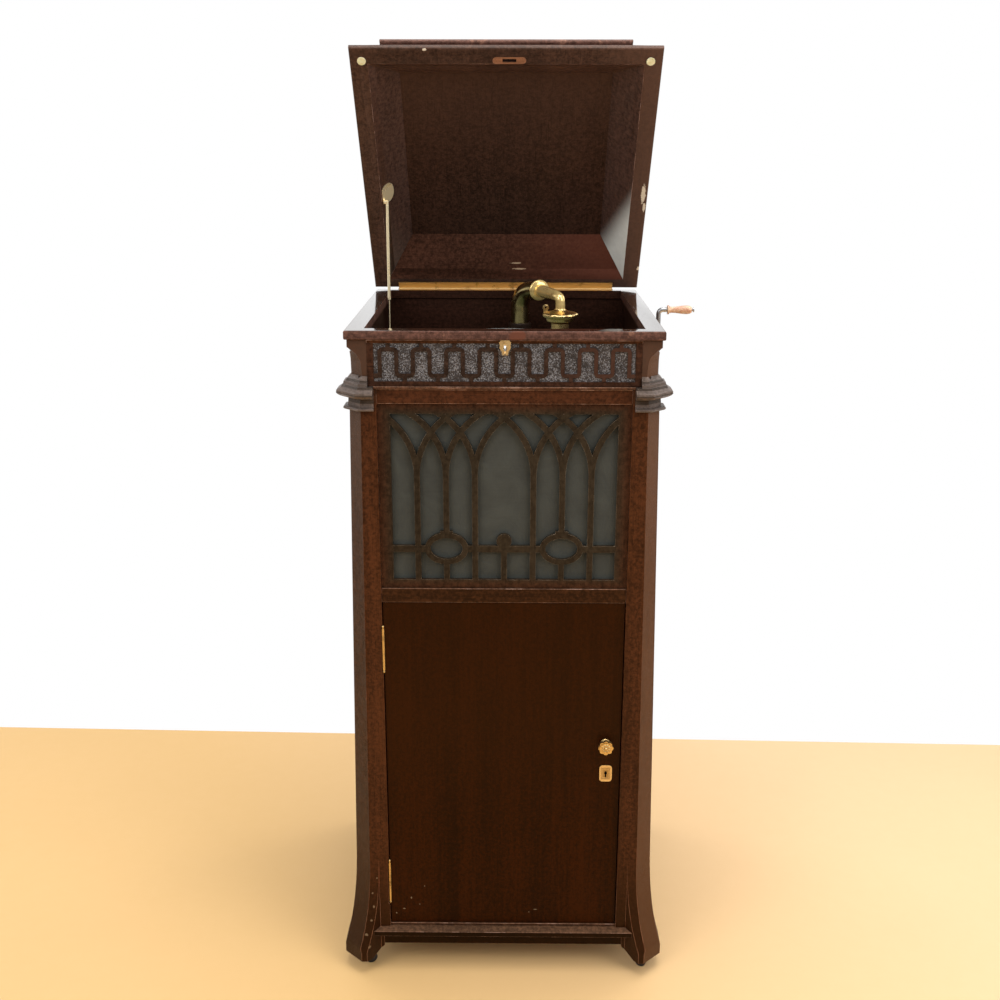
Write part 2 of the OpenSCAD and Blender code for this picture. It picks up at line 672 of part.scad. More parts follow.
// Hollow of the lid, carried past both of its faces
module lid_hollow(h0, h1) intersection() {
    along_y(-lid_l, 0) polygon([for (p = [[-1, h0], [1, h0], [1, h1], [-1, h1]])
        [p[0] * slope(lid_w / 2 - lid_band, ceiling_x, p[1]), p[1]]]);
    along_x(-lid_w, lid_w) polygon([[-slope(lid_l - lid_band, ceiling_front, h0), h0],
        [-slope(inner_back, ceiling_back, h0), h0], [-slope(inner_back, ceiling_back, h1), h1],
        [-slope(lid_l - lid_band, ceiling_front, h1), h1]]);
}
module lid_slab(w, s0, s1, h0, h1, r) intersection() {
    along_y(-s1, -s0) translate([0, h0]) rim_bar(w, h1 - h0, r);
    along_x(-w / 2, w / 2) translate([-(s0 + s1) / 2, h0]) rim_bar(s1 - s0, h1 - h0, r);
}
module lid_frame() color(mahogany) open_lid() difference() {
    lid_slab(lid_w, lid_back, lid_l, 0, lid_edge, 3);
    lid_hollow(-2, lid_edge + 1);
    for (x = [-1, 1] * (lid_w / 2 - 21)) translate([x, 25 - lid_l, -1]) cylinder(r = bumper_r, h = 4);
    strike_place(-1, 1.5) strike_outline();
    strike_place(0, 8.5) square([26, 7], center = true);
    box(hinge_x0 - 0.5, hinge_x1 + 0.5, -hinge_leaf - 0.5, 1, -1, leaf_t + leaf_gap);
}
module lid_slopes() color(mahogany_red) open_lid() difference() {
    intersection() {
        along_y(-lid_l, 0) polygon([[-lid_w / 2 + 2, lid_edge], [lid_w / 2 - 2, lid_edge],
            [board_x - 6, slope_h], [-board_x + 6, slope_h]]);
        along_x(-lid_w, lid_w) polygon([[-lid_l + 2, lid_edge], [-lid_back - 2, lid_edge],
            [-board_back - 6, slope_h], [-board_front + 6, slope_h]]);
    }
    lid_hollow(0, lid_h);
}
module lid_ceiling() color(mahogany) open_lid() intersection() {
    lid_hollow(0, lid_h);
    box(-lid_w, lid_w, -lid_l, 0, ceiling_h, slope_h);
}
module lid_top_board() color(mahogany_red) open_lid()
    lid_slab(2 * board_x, board_back, board_front, slope_h, lid_h, 4);
module lid_bumpers() color("#d8cf9a") open_lid() for (x = [-1, 1] * (lid_w / 2 - 21))
    translate([x, 25 - lid_l, -1.5]) cylinder(r = bumper_r, h = 4.5);
module strike_place(h0, h1) translate([bolt_x, bolt_y - hinge_y, h0]) linear_extrude(h1 - h0) children();
module strike_outline() round_rect(57.6, 13.5, 6.6);
module lid_strike_plate() color("#a8654a") open_lid() strike_place(0, 1.5) difference() {
    strike_outline();
    square([24, 6.2], center = true);
}

// ---- Piano hinge ----
hinge_x0 = 45.5 - rim_w / 2;
hinge_x1 = rim_w / 2 - 48.5;
hinge_leaf = 18;
leaf_t = 1.2;
leaf_gap = 0.1;
knuckle_n = 13;
knuckle = (hinge_x1 - hinge_x0) / knuckle_n;
module piano_knuckles(odd) for (k = [0 : knuckle_n - 1]) if ((k % 2 == 1) == odd)
    translate([hinge_x0 + k * knuckle + 0.15, 0, 0]) {
        x_rod(barrel_r, 0, knuckle - 0.3);
        children();
    }
module lid_hinge_lower() color(gilt) cab() translate([0, hinge_y, rim_top]) {
    x_rod(pin_r, hinge_x0 - 1, hinge_x1 + 1);
    piano_knuckles(false) box(0, knuckle - 0.3, -3.2, 0, -leaf_gap - leaf_t, -leaf_gap);
    box(hinge_x0, hinge_x1, -hinge_leaf, -barrel_r - slack, -leaf_gap - leaf_t, -leaf_gap);
}
module lid_hinge_upper() color(gilt) open_lid() difference() {
    union() {
        piano_knuckles(true) box(0, knuckle - 0.3, -3.2, 0, leaf_gap, leaf_gap + leaf_t);
        box(hinge_x0, hinge_x1, -hinge_leaf, -barrel_r - slack, leaf_gap, leaf_gap + leaf_t);
    }
    x_rod(pin_r + fit, hinge_x0 - 5, hinge_x1 + 5);
}

// ---- Stay: a tube with a thin rod below it, sliding through a swivelling eye ----
stay_s = 229;       // distance of the upper pivot from the lid's hinge
stay_top = [hinge_y - stay_s * cos(lid_open), rim_top + stay_s * sin(lid_open)];
stay_len = norm([eye_y, eye_z] - stay_top);
stay_tilt = atan2(eye_y - stay_top[0], stay_top[1] - eye_z);
tube_l = 182;
rod_past = 12;
ear_x = -well_x + 4.3;
// Height over the rim where the lid's left slope reaches x
function slope_at(x) = (x + lid_w / 2 - lid_band) * ceiling_h / (lid_w / 2 - lid_band - ceiling_x);
module stay_bracket() color(brass) open_lid() {
    // leaf screwed to the lid's left slope
    intersection() {
        along_y(-stay_s - 35, -stay_s + 7) polygon([for (p = [[0, 1.8], [0, 21], [1.8, 21], [1.8, 1.8]])
            [-slope(lid_w / 2 - lid_band, ceiling_x, p[1]) + p[0] * 0.69, p[1] - p[0] * 0.73]]);
        translate([-slope(lid_w / 2 - lid_band, ceiling_x, 11), -stay_s - 14, -5])
            scale([1, 1.9, 1]) cylinder(r = 11.5, h = 40);
    }
    // ear beside the stay's pivot
    translate([ear_x, -stay_s, 0]) x_rod(4, 0, 2.4);
    along_y(-stay_s - 4, -stay_s + 4) polygon([[ear_x, 0], [ear_x + 2.4, 0],
        [ear_x + 2.4, slope_at(ear_x + 2.4)], [ear_x, slope_at(ear_x)]]);
}
module stay_rod() color(gilt) cab() translate([eye_x, stay_top[0], stay_top[1]]) rotate([stay_tilt, 0, 0]) {
    x_rod(4, ear_x + 2.4 + slack - eye_x, -1);
    x_rod(3, -1, 2.4);
    translate([0, 0, -tube_l]) cylinder(r = 2.8, h = tube_l + 2);
    translate([0, 0, -tube_l - 4]) cylinder(r = 3, h = 5);
    translate([0, 0, -stay_len - rod_past]) cylinder(r = 1.25, h = stay_len + rod_past - tube_l);
}
module stay_eye() color(brass) cab() translate([0, eye_y, eye_z]) {
    translate([eye_x, 0, 0]) rotate([stay_tilt, 0, 0]) difference() {
        sphere(r = 6.4);
        translate([0, 0, -10]) cylinder(r = 3.3, h = 20);
        box(-8, 8, -8, 8, 4, 8);
        box(-8, 8, -8, 8, -8, -4);
    }
    difference() {
        x_rod(2.95, -panel_in + 1, eye_x - 3);
        translate([eye_x, 0, 0]) rotate([stay_tilt, 0, 0]) translate([0, 0, -10])
            cylinder(r = 3.3, h = 20);
    }
}

// ---- Casters: [x side, y, swivel angle] ----
casters = [[-1, stem_front, 26.6], [1, stem_front, -26.6], [-1, stem_rear, 152], [1, stem_rear, 205]];
module at_caster(i) translate([mid_x + casters[i][0] * stem_x, mid_y + casters[i][1], 0])
    rotate([0, 0, casters[i][2]]) children();
plate_z = foot_z - 1.5;
module caster_sockets() color(iron) for (i = [0 : 3]) at_caster(i) difference() {
    union() {
        translate([0, 0, plate_z]) cylinder(r = 12, h = 1.5);
        translate([0, 0, plate_z]) cylinder(r = stem_r + 2, h = stem_len + 1);
    }
    cylinder(r = stem_r + fit, h = plate_z + stem_len - 2);
}
module caster_fork(i) color(iron) at_caster(i) {
    translate([0, 0, plate_z - slack - 3]) cylinder(r = 9, h = 3);
    translate([0, 0, plate_z - slack - 1]) cylinder(r = stem_r, h = stem_len - 3);
    for (s = [-1, 1]) translate([0, s * (wheel_w / 2 + 1.2) - 0.9, wheel_r]) {
        translate([-4, 0, 0]) cube([trail + 7, 1.8, plate_z - slack - wheel_r - 2]);
        translate([trail, 0, 0]) y_rod(4, 0, 1.8);
    }
    translate([trail, 0, wheel_r]) y_rod(1.8, -wheel_w / 2 - 2.6, wheel_w / 2 + 2.6);
}
module caster_wheel(i) color(iron) at_caster(i) translate([trail, 0, wheel_r]) rotate([90, 0, 0])
    rotate_extrude($fn = 64) polygon([[1.8 + fit, -wheel_w / 2], [wheel_r - 1.5, -wheel_w / 2],
        [wheel_r, -wheel_w / 2 + 1.5], [wheel_r, wheel_w / 2 - 1.5], [wheel_r - 1.5, wheel_w / 2],
        [1.8 + fit, wheel_w / 2]]);
module caster_fork_front_left() caster_fork(0);
module caster_fork_front_right() caster_fork(1);
module caster_fork_rear_left() caster_fork(2);
module caster_fork_rear_right() caster_fork(3);
module caster_wheel_front_left() caster_wheel(0);
module caster_wheel_front_right() caster_wheel(1);
module caster_wheel_rear_left() caster_wheel(2);
module caster_wheel_rear_right() caster_wheel(3);

// ---- Motor ----
spindle_r = 5;
shaft_r = 5;
tooth = 2;                      // gear module
barrel_teeth = 44;
pinion_teeth = 12;
wheel_teeth = 40;
spring_pos = [55, crank_y];
// The intermediate wheel meshes with the spring barrel and with the spindle's pinion
spindle_pos = [0, spindle_y];
to_barrel = tooth * (barrel_teeth + pinion_teeth) / 2;
to_spindle = tooth * (wheel_teeth + pinion_teeth) / 2;
span_d = norm(spring_pos - spindle_pos);
mesh_a = (to_spindle * to_spindle - to_barrel * to_barrel + span_d * span_d) / (2 * span_d);
mesh_h = sqrt(to_spindle * to_spindle - mesh_a * mesh_a);
span_u = (spring_pos - spindle_pos) / span_d;
inter_pos = spindle_pos + mesh_a * span_u + mesh_h * [-span_u[1], span_u[0]];
function heading(v) = atan2(v[1], v[0]);
main_z = deck_z - 30;
inter_z = deck_z - 21;
plate_low = deck_z - 94;
plate_high = deck_z - 14;

// Gear with straight-flanked teeth, one tooth centred on the given heading
module gear(n, h, bore, phase) {
    r = tooth * n / 2;
    difference() {
        union() {
            cylinder(r = r - 1.1 * tooth, h = h);
            linear_extrude(h) for (i = [0 : n - 1]) rotate(phase + i * 360 / n) polygon([
                [r - 1.3 * tooth, -0.95 * tooth], [r - 0.2 * tooth, -0.72 * tooth],
                [r + 0.7 * tooth, -0.36 * tooth], [r + 0.7 * tooth, 0.36 * tooth],
                [r - 0.2 * tooth, 0.72 * tooth], [r - 1.3 * tooth, 0.95 * tooth]]);
        }
        translate([0, 0, -1]) cylinder(r = bore, h = h + 2);
    }
}
// Phase that puts a gap on the heading of the mate
function gap_on(n, angle) = angle + 180 / n;

pillars = [[-66, -6], [104, -6], [-66, 136], [104, 136]];
module motor_frame() color(iron) cab() difference() {
    union() {
        for (z = [plate_low, plate_high]) box(-74, 112, -14, 144, z, z + 4);
        for (p = pillars) translate([p[0], p[1], plate_low]) cylinder(r = 5, h = deck_z - plate_low);
        // posts that carry the governor
        for (y = [-34, 60]) translate([governor_x, spindle_y + y, plate_low]) difference() {
            box(-6, 6, -2, 2, 0, 38);
            translate([0, 0, governor_z - plate_low]) y_rod(1.5 + fit, -3, 3);
        }
        // bearing of the winding shaft
        translate([109, crank_y, plate_low]) difference() {
            box(-2.5, 2.5, -9, 9, 0, 36);
            translate([0, 0, crank_z - plate_low]) x_rod(shaft_r + fit, -3, 3);
        }
    }
    translate([spring_pos[0], spring_pos[1], plate_low - 1]) cylinder(r = 4 + fit, h = 200);
    translate([inter_pos[0], inter_pos[1], plate_low - 1]) cylinder(r = 3 + fit, h = 200);
    translate([0, spindle_y, plate_low - 1]) cylinder(r = spindle_r + fit, h = 200);
}
barrel_z0 = plate_low + 20;
barrel_r_out = 40;
module spring_barrel() color(steel) cab() translate([spring_pos[0], spring_pos[1], 0]) {
    difference() {
        translate([0, 0, barrel_z0]) cylinder(r = barrel_r_out, h = main_z - barrel_z0);
        translate([0, 0, barrel_z0 + 3]) cylinder(r = barrel_r_out - 2.5, h = main_z - barrel_z0 - 6);
        translate([0, 0, barrel_z0 - 1]) cylinder(r = 4 + fit, h = 200);
    }
    translate([0, 0, main_z]) gear(barrel_teeth, 5, 4 + fit, heading(inter_pos - spring_pos));
}
module winding_wheel() color(brass) cab() translate([spring_pos[0], spring_pos[1], 0]) {
    translate([0, 0, plate_low + 4 + slack]) cylinder(r = 12, h = 5);
    translate([0, 0, plate_low + 9]) cylinder(r = crown_r, h = 5);
    translate([0, 0, plate_low]) cylinder(r = 4, h = plate_high + 4 - plate_low);
    for (a = [0 : 9 : 351]) rotate(a) translate([crown_r - 8, -1, plate_low + 14 - eps]) cube([8, 2, 2]);
}
module intermediate_wheel() color(brass) cab() translate([inter_pos[0], inter_pos[1], 0]) {
    translate([0, 0, plate_low]) cylinder(r = 3, h = plate_high + 4 - plate_low);
    translate([0, 0, main_z - 1]) gear(pinion_teeth, 7, 2.9,
        gap_on(pinion_teeth, heading(spring_pos - inter_pos)));
    translate([0, 0, inter_z - 1]) gear(wheel_teeth, 4, 2.9, heading(spindle_pos - inter_pos));
}
worm_r = 3.6;
worm_wheel_r = 15;
governor_x = -worm_wheel_r - worm_r - slack;
governor_z = plate_low + 31;
module governor() color(brass) cab() translate([governor_x, spindle_y, governor_z]) rotate(90)
    mirror([1, 0, 0]) {
    x_rod(1.5, -63, 37);
    x_rod(worm_r, -14, 14);
    x_rod(13, -50, -47);
    x_rod(4, -50, -42);
    x_rod(4, -24, -18);
    for (a = [0 : 120 : 240]) rotate([a, 0, 0]) {
        translate([-33, 0, 10]) sphere(r = 4.5);
        translate([-33, 0, 6.5]) rotate([0, 62, 0]) translate([0, 0, -10]) cylinder(r = 0.9, h = 10);
        translate([-33, 0, 6.5]) rotate([0, -62, 0]) translate([0, 0, -10]) cylinder(r = 0.9, h = 10);
        translate([-33, 0, 5]) cylinder(r = 2, h = 4);
    }
    x_rod(5.5, -35, -31);
}
platter_z = deck_top + 16;
platter_h = 8;
felt_t = 2;
boss_r = 9;
pin_top_r = 3.6;    // the pin that a record's hole goes over
module turntable() color(steel) cab() translate([0, spindle_y, 0]) {
    // the boss round the pin comes up nearly level with the felt
    translate([0, 0, platter_z]) rotate_extrude($fn = 128) polygon([[0, 0], [18, 0], [22, 4],
        [turntable_r - 8, 4], [turntable_r - 6, 0], [turntable_r - 1, 0], [turntable_r, 1.5],
        [turntable_r, platter_h - 1.5], [turntable_r - 1.5, platter_h], [boss_r, platter_h],
        [boss_r, platter_h + felt_t - 0.1], [0, platter_h + felt_t - 0.1]]);
    translate([0, 0, plate_low]) cylinder(r = spindle_r, h = platter_z - plate_low + 1);
    translate([0, 0, platter_z]) cylinder(r = pin_top_r, h = platter_h + 14);
    translate([0, 0, platter_z + platter_h + 14]) sphere(r = pin_top_r);
    translate([0, 0, inter_z - 2]) gear(pinion_teeth, 6, 4.9,
        gap_on(pinion_teeth, heading(inter_pos - spindle_pos)));
    translate([0, 0, governor_z - 2.5]) cylinder(r = worm_wheel_r, h = 5);
}
module turntable_felt() color("#3f5a3c") cab() translate([0, spindle_y, platter_z + platter_h])
    difference() {
        cylinder(r = turntable_r - 2, h = felt_t, $fn = 128);
        translate([0, 0, -1]) cylinder(r = boss_r + slack, h = felt_t + 2);
    }
brake_x = -150;
brake_y = -112;
module brake_lever() color(brass) cab() translate([brake_x, brake_y, 0]) {
    translate([0, 0, deck_z - 3]) cylinder(r = 3, h = board_t + 9);
    translate([0, 0, deck_top + slack]) cylinder(r = 8, h = 5);
    rotate([0, 0, heading([-brake_x, spindle_y - brake_y]) - 22]) {
        translate([-46, -4, deck_top + slack + 1]) cube([46 + 58, 8, 4]);
        translate([-46, 0, deck_top + slack + 1]) cylinder(r = 7, h = 8);
        translate([55, -5, deck_top + slack + 4]) cube([8, 10, 18]);
    }
}

// ---- Crank ----
crown_r = 50;
pinion_x = spring_pos[0] + crown_r - 8;
module crank_arm() color(steel) cab() {
    translate([0, crank_y, crank_z]) {
        x_rod(shaft_r, pinion_x, crank_plane);
        // winding pinion over the crown teeth of the winding wheel
        x_rod(crank_z - plate_low - 16 - slack, pinion_x, pinion_x + 8);
        x_rod(7, panel_out + 0.5, crank_plane);
        x_rod(9, crank_plane - 5, crank_plane + 5);
    }
    translate([crank_plane, crank_y, crank_z]) cylinder(r = 4.5, h = crank_l - 8);
    translate([crank_plane + 8, crank_y, crank_z + crank_l - 8]) rotate([90, 0, 180])
        rotate_extrude(angle = 90) translate([8, 0]) circle(4.5);
    translate([0, crank_y, crank_z + crank_l]) {
        x_rod(4.5, crank_plane + 8, crank_plane + 16);
        x_rod(2.5, crank_plane + 15, crank_reach - 1);
        x_rod(4.5, crank_reach - 2, crank_reach);
    }
}
handle_x = crank_plane + 16 + slack;
grip_l = handle_l - 2.1;
handle_outline = [[0, 8.6], [2.5, 8.6], [3.5, 6.6], [8, 5.6], [16, 6.2], [28, 7.9], [36, 8.2], [41, 7.4],
    [44, 5.4]];
module crank_handle() color("#c9a07c") cab() translate([handle_x, crank_y, crank_z + crank_l])
    rotate([0, 90, 0]) rotate_extrude() polygon(concat([[2.5 + fit, 0]],
        [for (p = handle_outline) [p[1], p[0] * grip_l / 44]], [[2.5 + fit, grip_l]]));

// ---- Sound: swept hollow tubes ----
function unit(v) = v / norm(v);
function knot(p, i) = p[max(0, min(len(p) - 1, i))];
// Smooth curve through the points, n steps in each span
function spline(p, n) = concat([for (i = [0 : len(p) - 2], k = [0 : n - 1]) let (t = k / n,
    a = knot(p, i - 1), b = p[i], c = p[i + 1], d = knot(p, i + 2))
    b + 0.5 * t * (c - a) + t * t * (a - 2.5 * b + 2 * c - 0.5 * d)
    + t * t * t * (1.5 * b - 1.5 * c + 0.5 * d - 0.5 * a)], [p[len(p) - 1]]);
function tangent(p, i) = unit(knot(p, i + 1) - knot(p, i - 1));
// Point of a ring: the section goes from round to nearly square as the power grows
function bulge(c, power) = sign(c) * pow(abs(c), 2 / power);
function ring(p, i, half_w, half_h, power, side, n) = let (t = tangent(p, i),
    u = unit(side - (side * t) * t), v = cross(t, u))
    [for (k = [0 : n - 1]) let (a = 360 * k / n)
    p[i] + u * half_w * bulge(cos(a), power) + v * half_h * bulge(sin(a), power)];
// rows: [x, y, z, half width, half height, power]
module swept_tube(rows, steps, wall, side, n) {
    fine = spline(rows, steps);
    path = [for (r = fine) [r[0], r[1], r[2]]];
    m = len(path);
    outer = [for (i = [0 : m - 1]) each ring(path, i, fine[i][3], fine[i][4], fine[i][5], side, n)];
    inner = [for (i = [0 : m - 1]) each ring(path, i, fine[i][3] - wall, fine[i][4] - wall, fine[i][5],
        side, n)];
    size = m * n;
    function quad(a, b, c, d) = [[a, b, c], [a, c, d]];
    polyhedron(concat(outer, inner), concat(
        [for (i = [0 : m - 2], k = [0 : n - 1]) let (j = (k + 1) % n) each quad(i * n + k, (i + 1) * n + k,
            (i + 1) * n + j, i * n + j)],
        [for (i = [0 : m - 2], k = [0 : n - 1]) let (j = (k + 1) % n) each quad(size + i * n + j,
            size + (i + 1) * n + j, size + (i + 1) * n + k, size + i * n + k)],
        [for (k = [0 : n - 1]) let (j = (k + 1) % n) each quad(k, j, size + j, size + k)],
        [for (k = [0 : n - 1]) let (j = (k + 1) % n) each quad((m - 1) * n + j, (m - 1) * n + k,
            size + (m - 1) * n + k, size + (m - 1) * n + j)]), convexity = 6);
}
neck_low = deck_z - 8;
mouth_y = 39 - shaft_front;
mouth_z = grille_z + mouth_half_h + 7;
horn_rows = [[neck_x, neck_y, neck_low, neck_r, neck_r, 2],
    [neck_x, neck_y, neck_low - 60, neck_r + 1, neck_r + 1, 2],
    [neck_x, neck_y - 2, neck_low - 125, 22, 22, 2], [neck_x, neck_y - 22, mouth_z + 40, 28, 27, 2.1],
    [neck_x, 145, mouth_z + 5, 38, 36, 2.3], [neck_x + 1, 60, mouth_z - 8, 50, 52, 2.8],
    [neck_x + 2, -85, mouth_z - 5, 68, 78, 3.6], [neck_x + 2.8, mouth_y, mouth_z, mouth_half_w,
    mouth_half_h, 5]];
module horn_bell() color(iron) cab() swept_tube(horn_rows, 3, 1.8, [1, 0, 0], 32);

collar = [66, neck_y - 50, rim_top + 12];
stylus = [104.5, neck_y - 150];
module neck_flange() color(iron) cab() translate([neck_x, neck_y, deck_top]) difference() {
    union() {
        cylinder(r = neck_r + 13, h = 5);
        cylinder(r = neck_r + 6, h = 31);
        translate([0, 0, 30]) cylinder(r1 = neck_r + 6, r2 = neck_r + 4, h = 3);
    }
    translate([0, 0, -1]) cylinder(r = neck_r + slack, h = 40);
}
neck_top = deck_top + 30;
// The tube runs straight through the collar
before_collar = collar + 12 * [-0.33, 0.944, 0];
after_collar = collar + 15 * [0.33, -0.944, 0];
neck_rows = [[neck_x, neck_y, neck_top + 0.6, neck_r - 0.4, neck_r - 0.4, 2],
    [neck_x + 0.5, neck_y - 0.5, rim_top - 20, neck_r - 0.6, neck_r - 0.6, 2],
    [neck_x + 8, neck_y - 10, rim_top + 1, neck_r - 1.6, neck_r - 1.6, 2],
    [neck_x + 19, neck_y - 23, rim_top + 10, neck_r - 2.8, neck_r - 2.8, 2],
    concat(before_collar, [neck_r - 3.9, neck_r - 3.9, 2]),
    concat(collar, [neck_r - 4.5, neck_r - 4.5, 2]),
    concat(after_collar, [neck_r - 5.6, neck_r - 5.6, 2]),
    [85, 111, collar[2] + 0.6, 10, 10, 2], [97, 78, collar[2] + 0.8, 9, 9, 2],
    [103, 67, collar[2] - 3, 8.6, 8.6, 2], [stylus[0], stylus[1], collar[2] - 13, 8.4, 8.4, 2],
    [stylus[0], stylus[1], collar[2] - 24, 9, 9, 2]];
module horn_neck() color(gilt) cab() {
    translate([neck_x, neck_y, neck_low]) difference() {
        cylinder(r = neck_r, h = neck_top - neck_low);
        translate([0, 0, -1]) cylinder(r = neck_r - 1.5, h = 100);
    }
    swept_tube(neck_rows, 3, 1.5, [0.79, 0.6, 0.12], 24);
    // collar: two beads and a band around the tube
    translate(collar) rotate([0, 0, atan2(-0.944, 0.33)]) rotate([0, 90, 0]) rotate_extrude()
        polygon([[neck_r - 3.5, -6], [neck_r + 0.5, -6], [neck_r + 2.6, -4.6], [neck_r + 2.6, -2.4],
            [neck_r + 0.6, -1.4], [neck_r + 0.6, 2], [neck_r + 1.6, 3], [neck_r + 1.6, 5],
            [neck_r - 1, 7], [neck_r - 4.2, 7]]);
}
rep_top = collar[2] - 24;
module reproducer() color(gilt) cab() translate([stylus[0], stylus[1], 0]) {
    translate([0, 0, rep_top - 3]) cylinder(r = 10.5, h = 3);
    difference() {
        translate([0, 0, rep_top - 16]) rotate_extrude($fn = 96) polygon([[0, 0], [reproducer_r - 6, 0],
            [reproducer_r - 1, 3], [reproducer_r, 4.5], [reproducer_r, 8], [reproducer_r - 3, 10.5],
            [20, 12.5], [13, 14.5], [0, 15]]);
        for (a = [0 : 15 : 345]) rotate(a) translate([reproducer_r + 1.6, 0, rep_top - 20])
            cylinder(r = 2.6, h = 20);
    }
    translate([0, 0, rep_top - 23]) cylinder(r = 22, h = 8);
    // lifting lug with its hole
    translate([-22, 6, rep_top - 4]) rotate([90, 0, 0]) difference() {
        union() {
            translate([-5, -6]) cube([10, 8, 3]);
            translate([0, 4, 0]) cylinder(r = 5, h = 3);
        }
        translate([0, 4, -1]) cylinder(r = 2, h = 5);
    }
    // ear that carries the floating weight
    for (s = [-1, 1]) translate([s * 9 - 1.5, 20, rep_top - 30]) cube([3, 6, 8]);
    translate([0, 23, rep_top - 27]) x_rod(1.5, -10, 10);
}
module reproducer_weight() color(gilt) cab() translate([stylus[0], stylus[1], 0]) {
    difference() {
        union() {
            translate([0, 0, rep_top - 36]) cylinder(r = 17, h = 10);
            translate([-6, 8, rep_top - 30]) cube([12, 15, 6]);
            translate([0, 23, rep_top - 27]) x_rod(3.4, -6, 6);
        }
        translate([0, 23, rep_top - 27]) x_rod(1.5 + fit, -12, 12);
    }
    translate([0, 0, rep_top - 40]) cylinder(r1 = 0.6, r2 = 1.6, h = 6);
}

front_posts();
rear_posts();
post_capitals();
side_panels();
back_panel();
floor_board();
base_mouldings();
top_rim();
frieze_panel();
frieze_fret();
front_rails();
grille_tracery();
grille_cloth();
record_shelves();
motor_board();
well_lining();
door_panel();
door_hinge_fixed();
door_hinge_moving();
door_lock_plate();
door_knob();
lid_lock();
lid_escutcheon();
lid_bolt();
lid_key();
lid_frame();
lid_slopes();
lid_ceiling();
lid_top_board();
lid_bumpers();
lid_strike_plate();
lid_hinge_lower();
lid_hinge_upper();
stay_bracket();
stay_rod();
stay_eye();
caster_sockets();
caster_fork_front_left();
caster_fork_front_right();
caster_fork_rear_left();
caster_fork_rear_right();
caster_wheel_front_left();
caster_wheel_front_right();
caster_wheel_rear_left();
caster_wheel_rear_right();
motor_frame();
spring_barrel();
winding_wheel();
intermediate_wheel();
governor();
turntable();
turntable_felt();
brake_lever();
crank_arm();
crank_handle();
neck_flange();
horn_bell();
horn_neck();
reproducer();
reproducer_weight();
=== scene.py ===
"""Looks for an upright cabinet gramophone with its lid open on the stay."""

import json
import math

import bmesh
import bpy
from mathutils import Matrix, Vector

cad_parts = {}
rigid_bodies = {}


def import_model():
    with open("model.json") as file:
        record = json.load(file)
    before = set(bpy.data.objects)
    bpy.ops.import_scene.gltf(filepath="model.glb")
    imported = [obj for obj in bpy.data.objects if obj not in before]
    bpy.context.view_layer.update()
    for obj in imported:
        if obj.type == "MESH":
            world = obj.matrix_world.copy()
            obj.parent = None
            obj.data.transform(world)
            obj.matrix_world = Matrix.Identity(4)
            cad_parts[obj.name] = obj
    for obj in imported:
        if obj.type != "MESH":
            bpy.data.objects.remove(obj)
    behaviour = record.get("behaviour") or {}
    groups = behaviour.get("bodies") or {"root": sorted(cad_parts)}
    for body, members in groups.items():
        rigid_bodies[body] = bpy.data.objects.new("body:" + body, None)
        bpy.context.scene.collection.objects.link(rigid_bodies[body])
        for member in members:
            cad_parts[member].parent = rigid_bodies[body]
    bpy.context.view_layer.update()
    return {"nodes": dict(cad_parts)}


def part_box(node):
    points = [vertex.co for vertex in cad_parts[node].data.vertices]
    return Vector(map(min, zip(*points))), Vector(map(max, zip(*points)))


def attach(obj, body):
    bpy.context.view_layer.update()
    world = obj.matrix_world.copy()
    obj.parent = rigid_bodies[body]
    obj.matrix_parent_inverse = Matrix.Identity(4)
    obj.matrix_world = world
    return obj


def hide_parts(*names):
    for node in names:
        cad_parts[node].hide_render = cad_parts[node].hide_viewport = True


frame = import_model()
bpy.context.scene.view_settings.view_transform = "Standard"
nodes = frame["nodes"]

MM = 0.001
RIM_HALF = 281   # mm from the middle of the rim to its front, and to the hinge
RIM_TOP = 1242   # mm over the floor
LID_TURN = math.radians(52.6)   # how far the lid stands open
LEAF_GAP = 0.1   # half the space between the piano hinge's closed leaves, mm
WELD = 2e-6      # m within which points of a solid are one
FLAT = 0.6       # degrees within which neighbouring faces are one
CREASE = 32      # degrees between faces from which an edge is an arris

# The cabinet's own middle plane, and the middle of its rim from front to hinge
rim_lo, rim_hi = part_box("top_rim")
MID_X = (rim_lo.x + rim_hi.x) / 2
MID_Y = rim_lo.y + RIM_HALF * MM
FRIEZE_FIELD_Y = MID_Y - 0.274   # the sunk ground behind the fret


def cab(x, y, z):
    """A point given in mm from the cabinet's middle and the floor."""
    return Vector((MID_X + x * MM, MID_Y + y * MM, z * MM))


def lid(x, s, h):
    """A point of the open lid: mm across, from the hinge axis, and up from its underside."""
    c, d = math.cos(LID_TURN), math.sin(LID_TURN)
    return cab(x, RIM_HALF - s * c + h * d, RIM_TOP + s * d + h * c)


def in_lid(p):
    """(x, s, h) in mm of a world point, the reverse of lid()."""
    c, d = math.cos(LID_TURN), math.sin(LID_TURN)
    x, y, z = (p.x - MID_X) / MM, (p.y - MID_Y) / MM - RIM_HALF, p.z / MM - RIM_TOP
    return x, -y * c + z * d, y * d + z * c


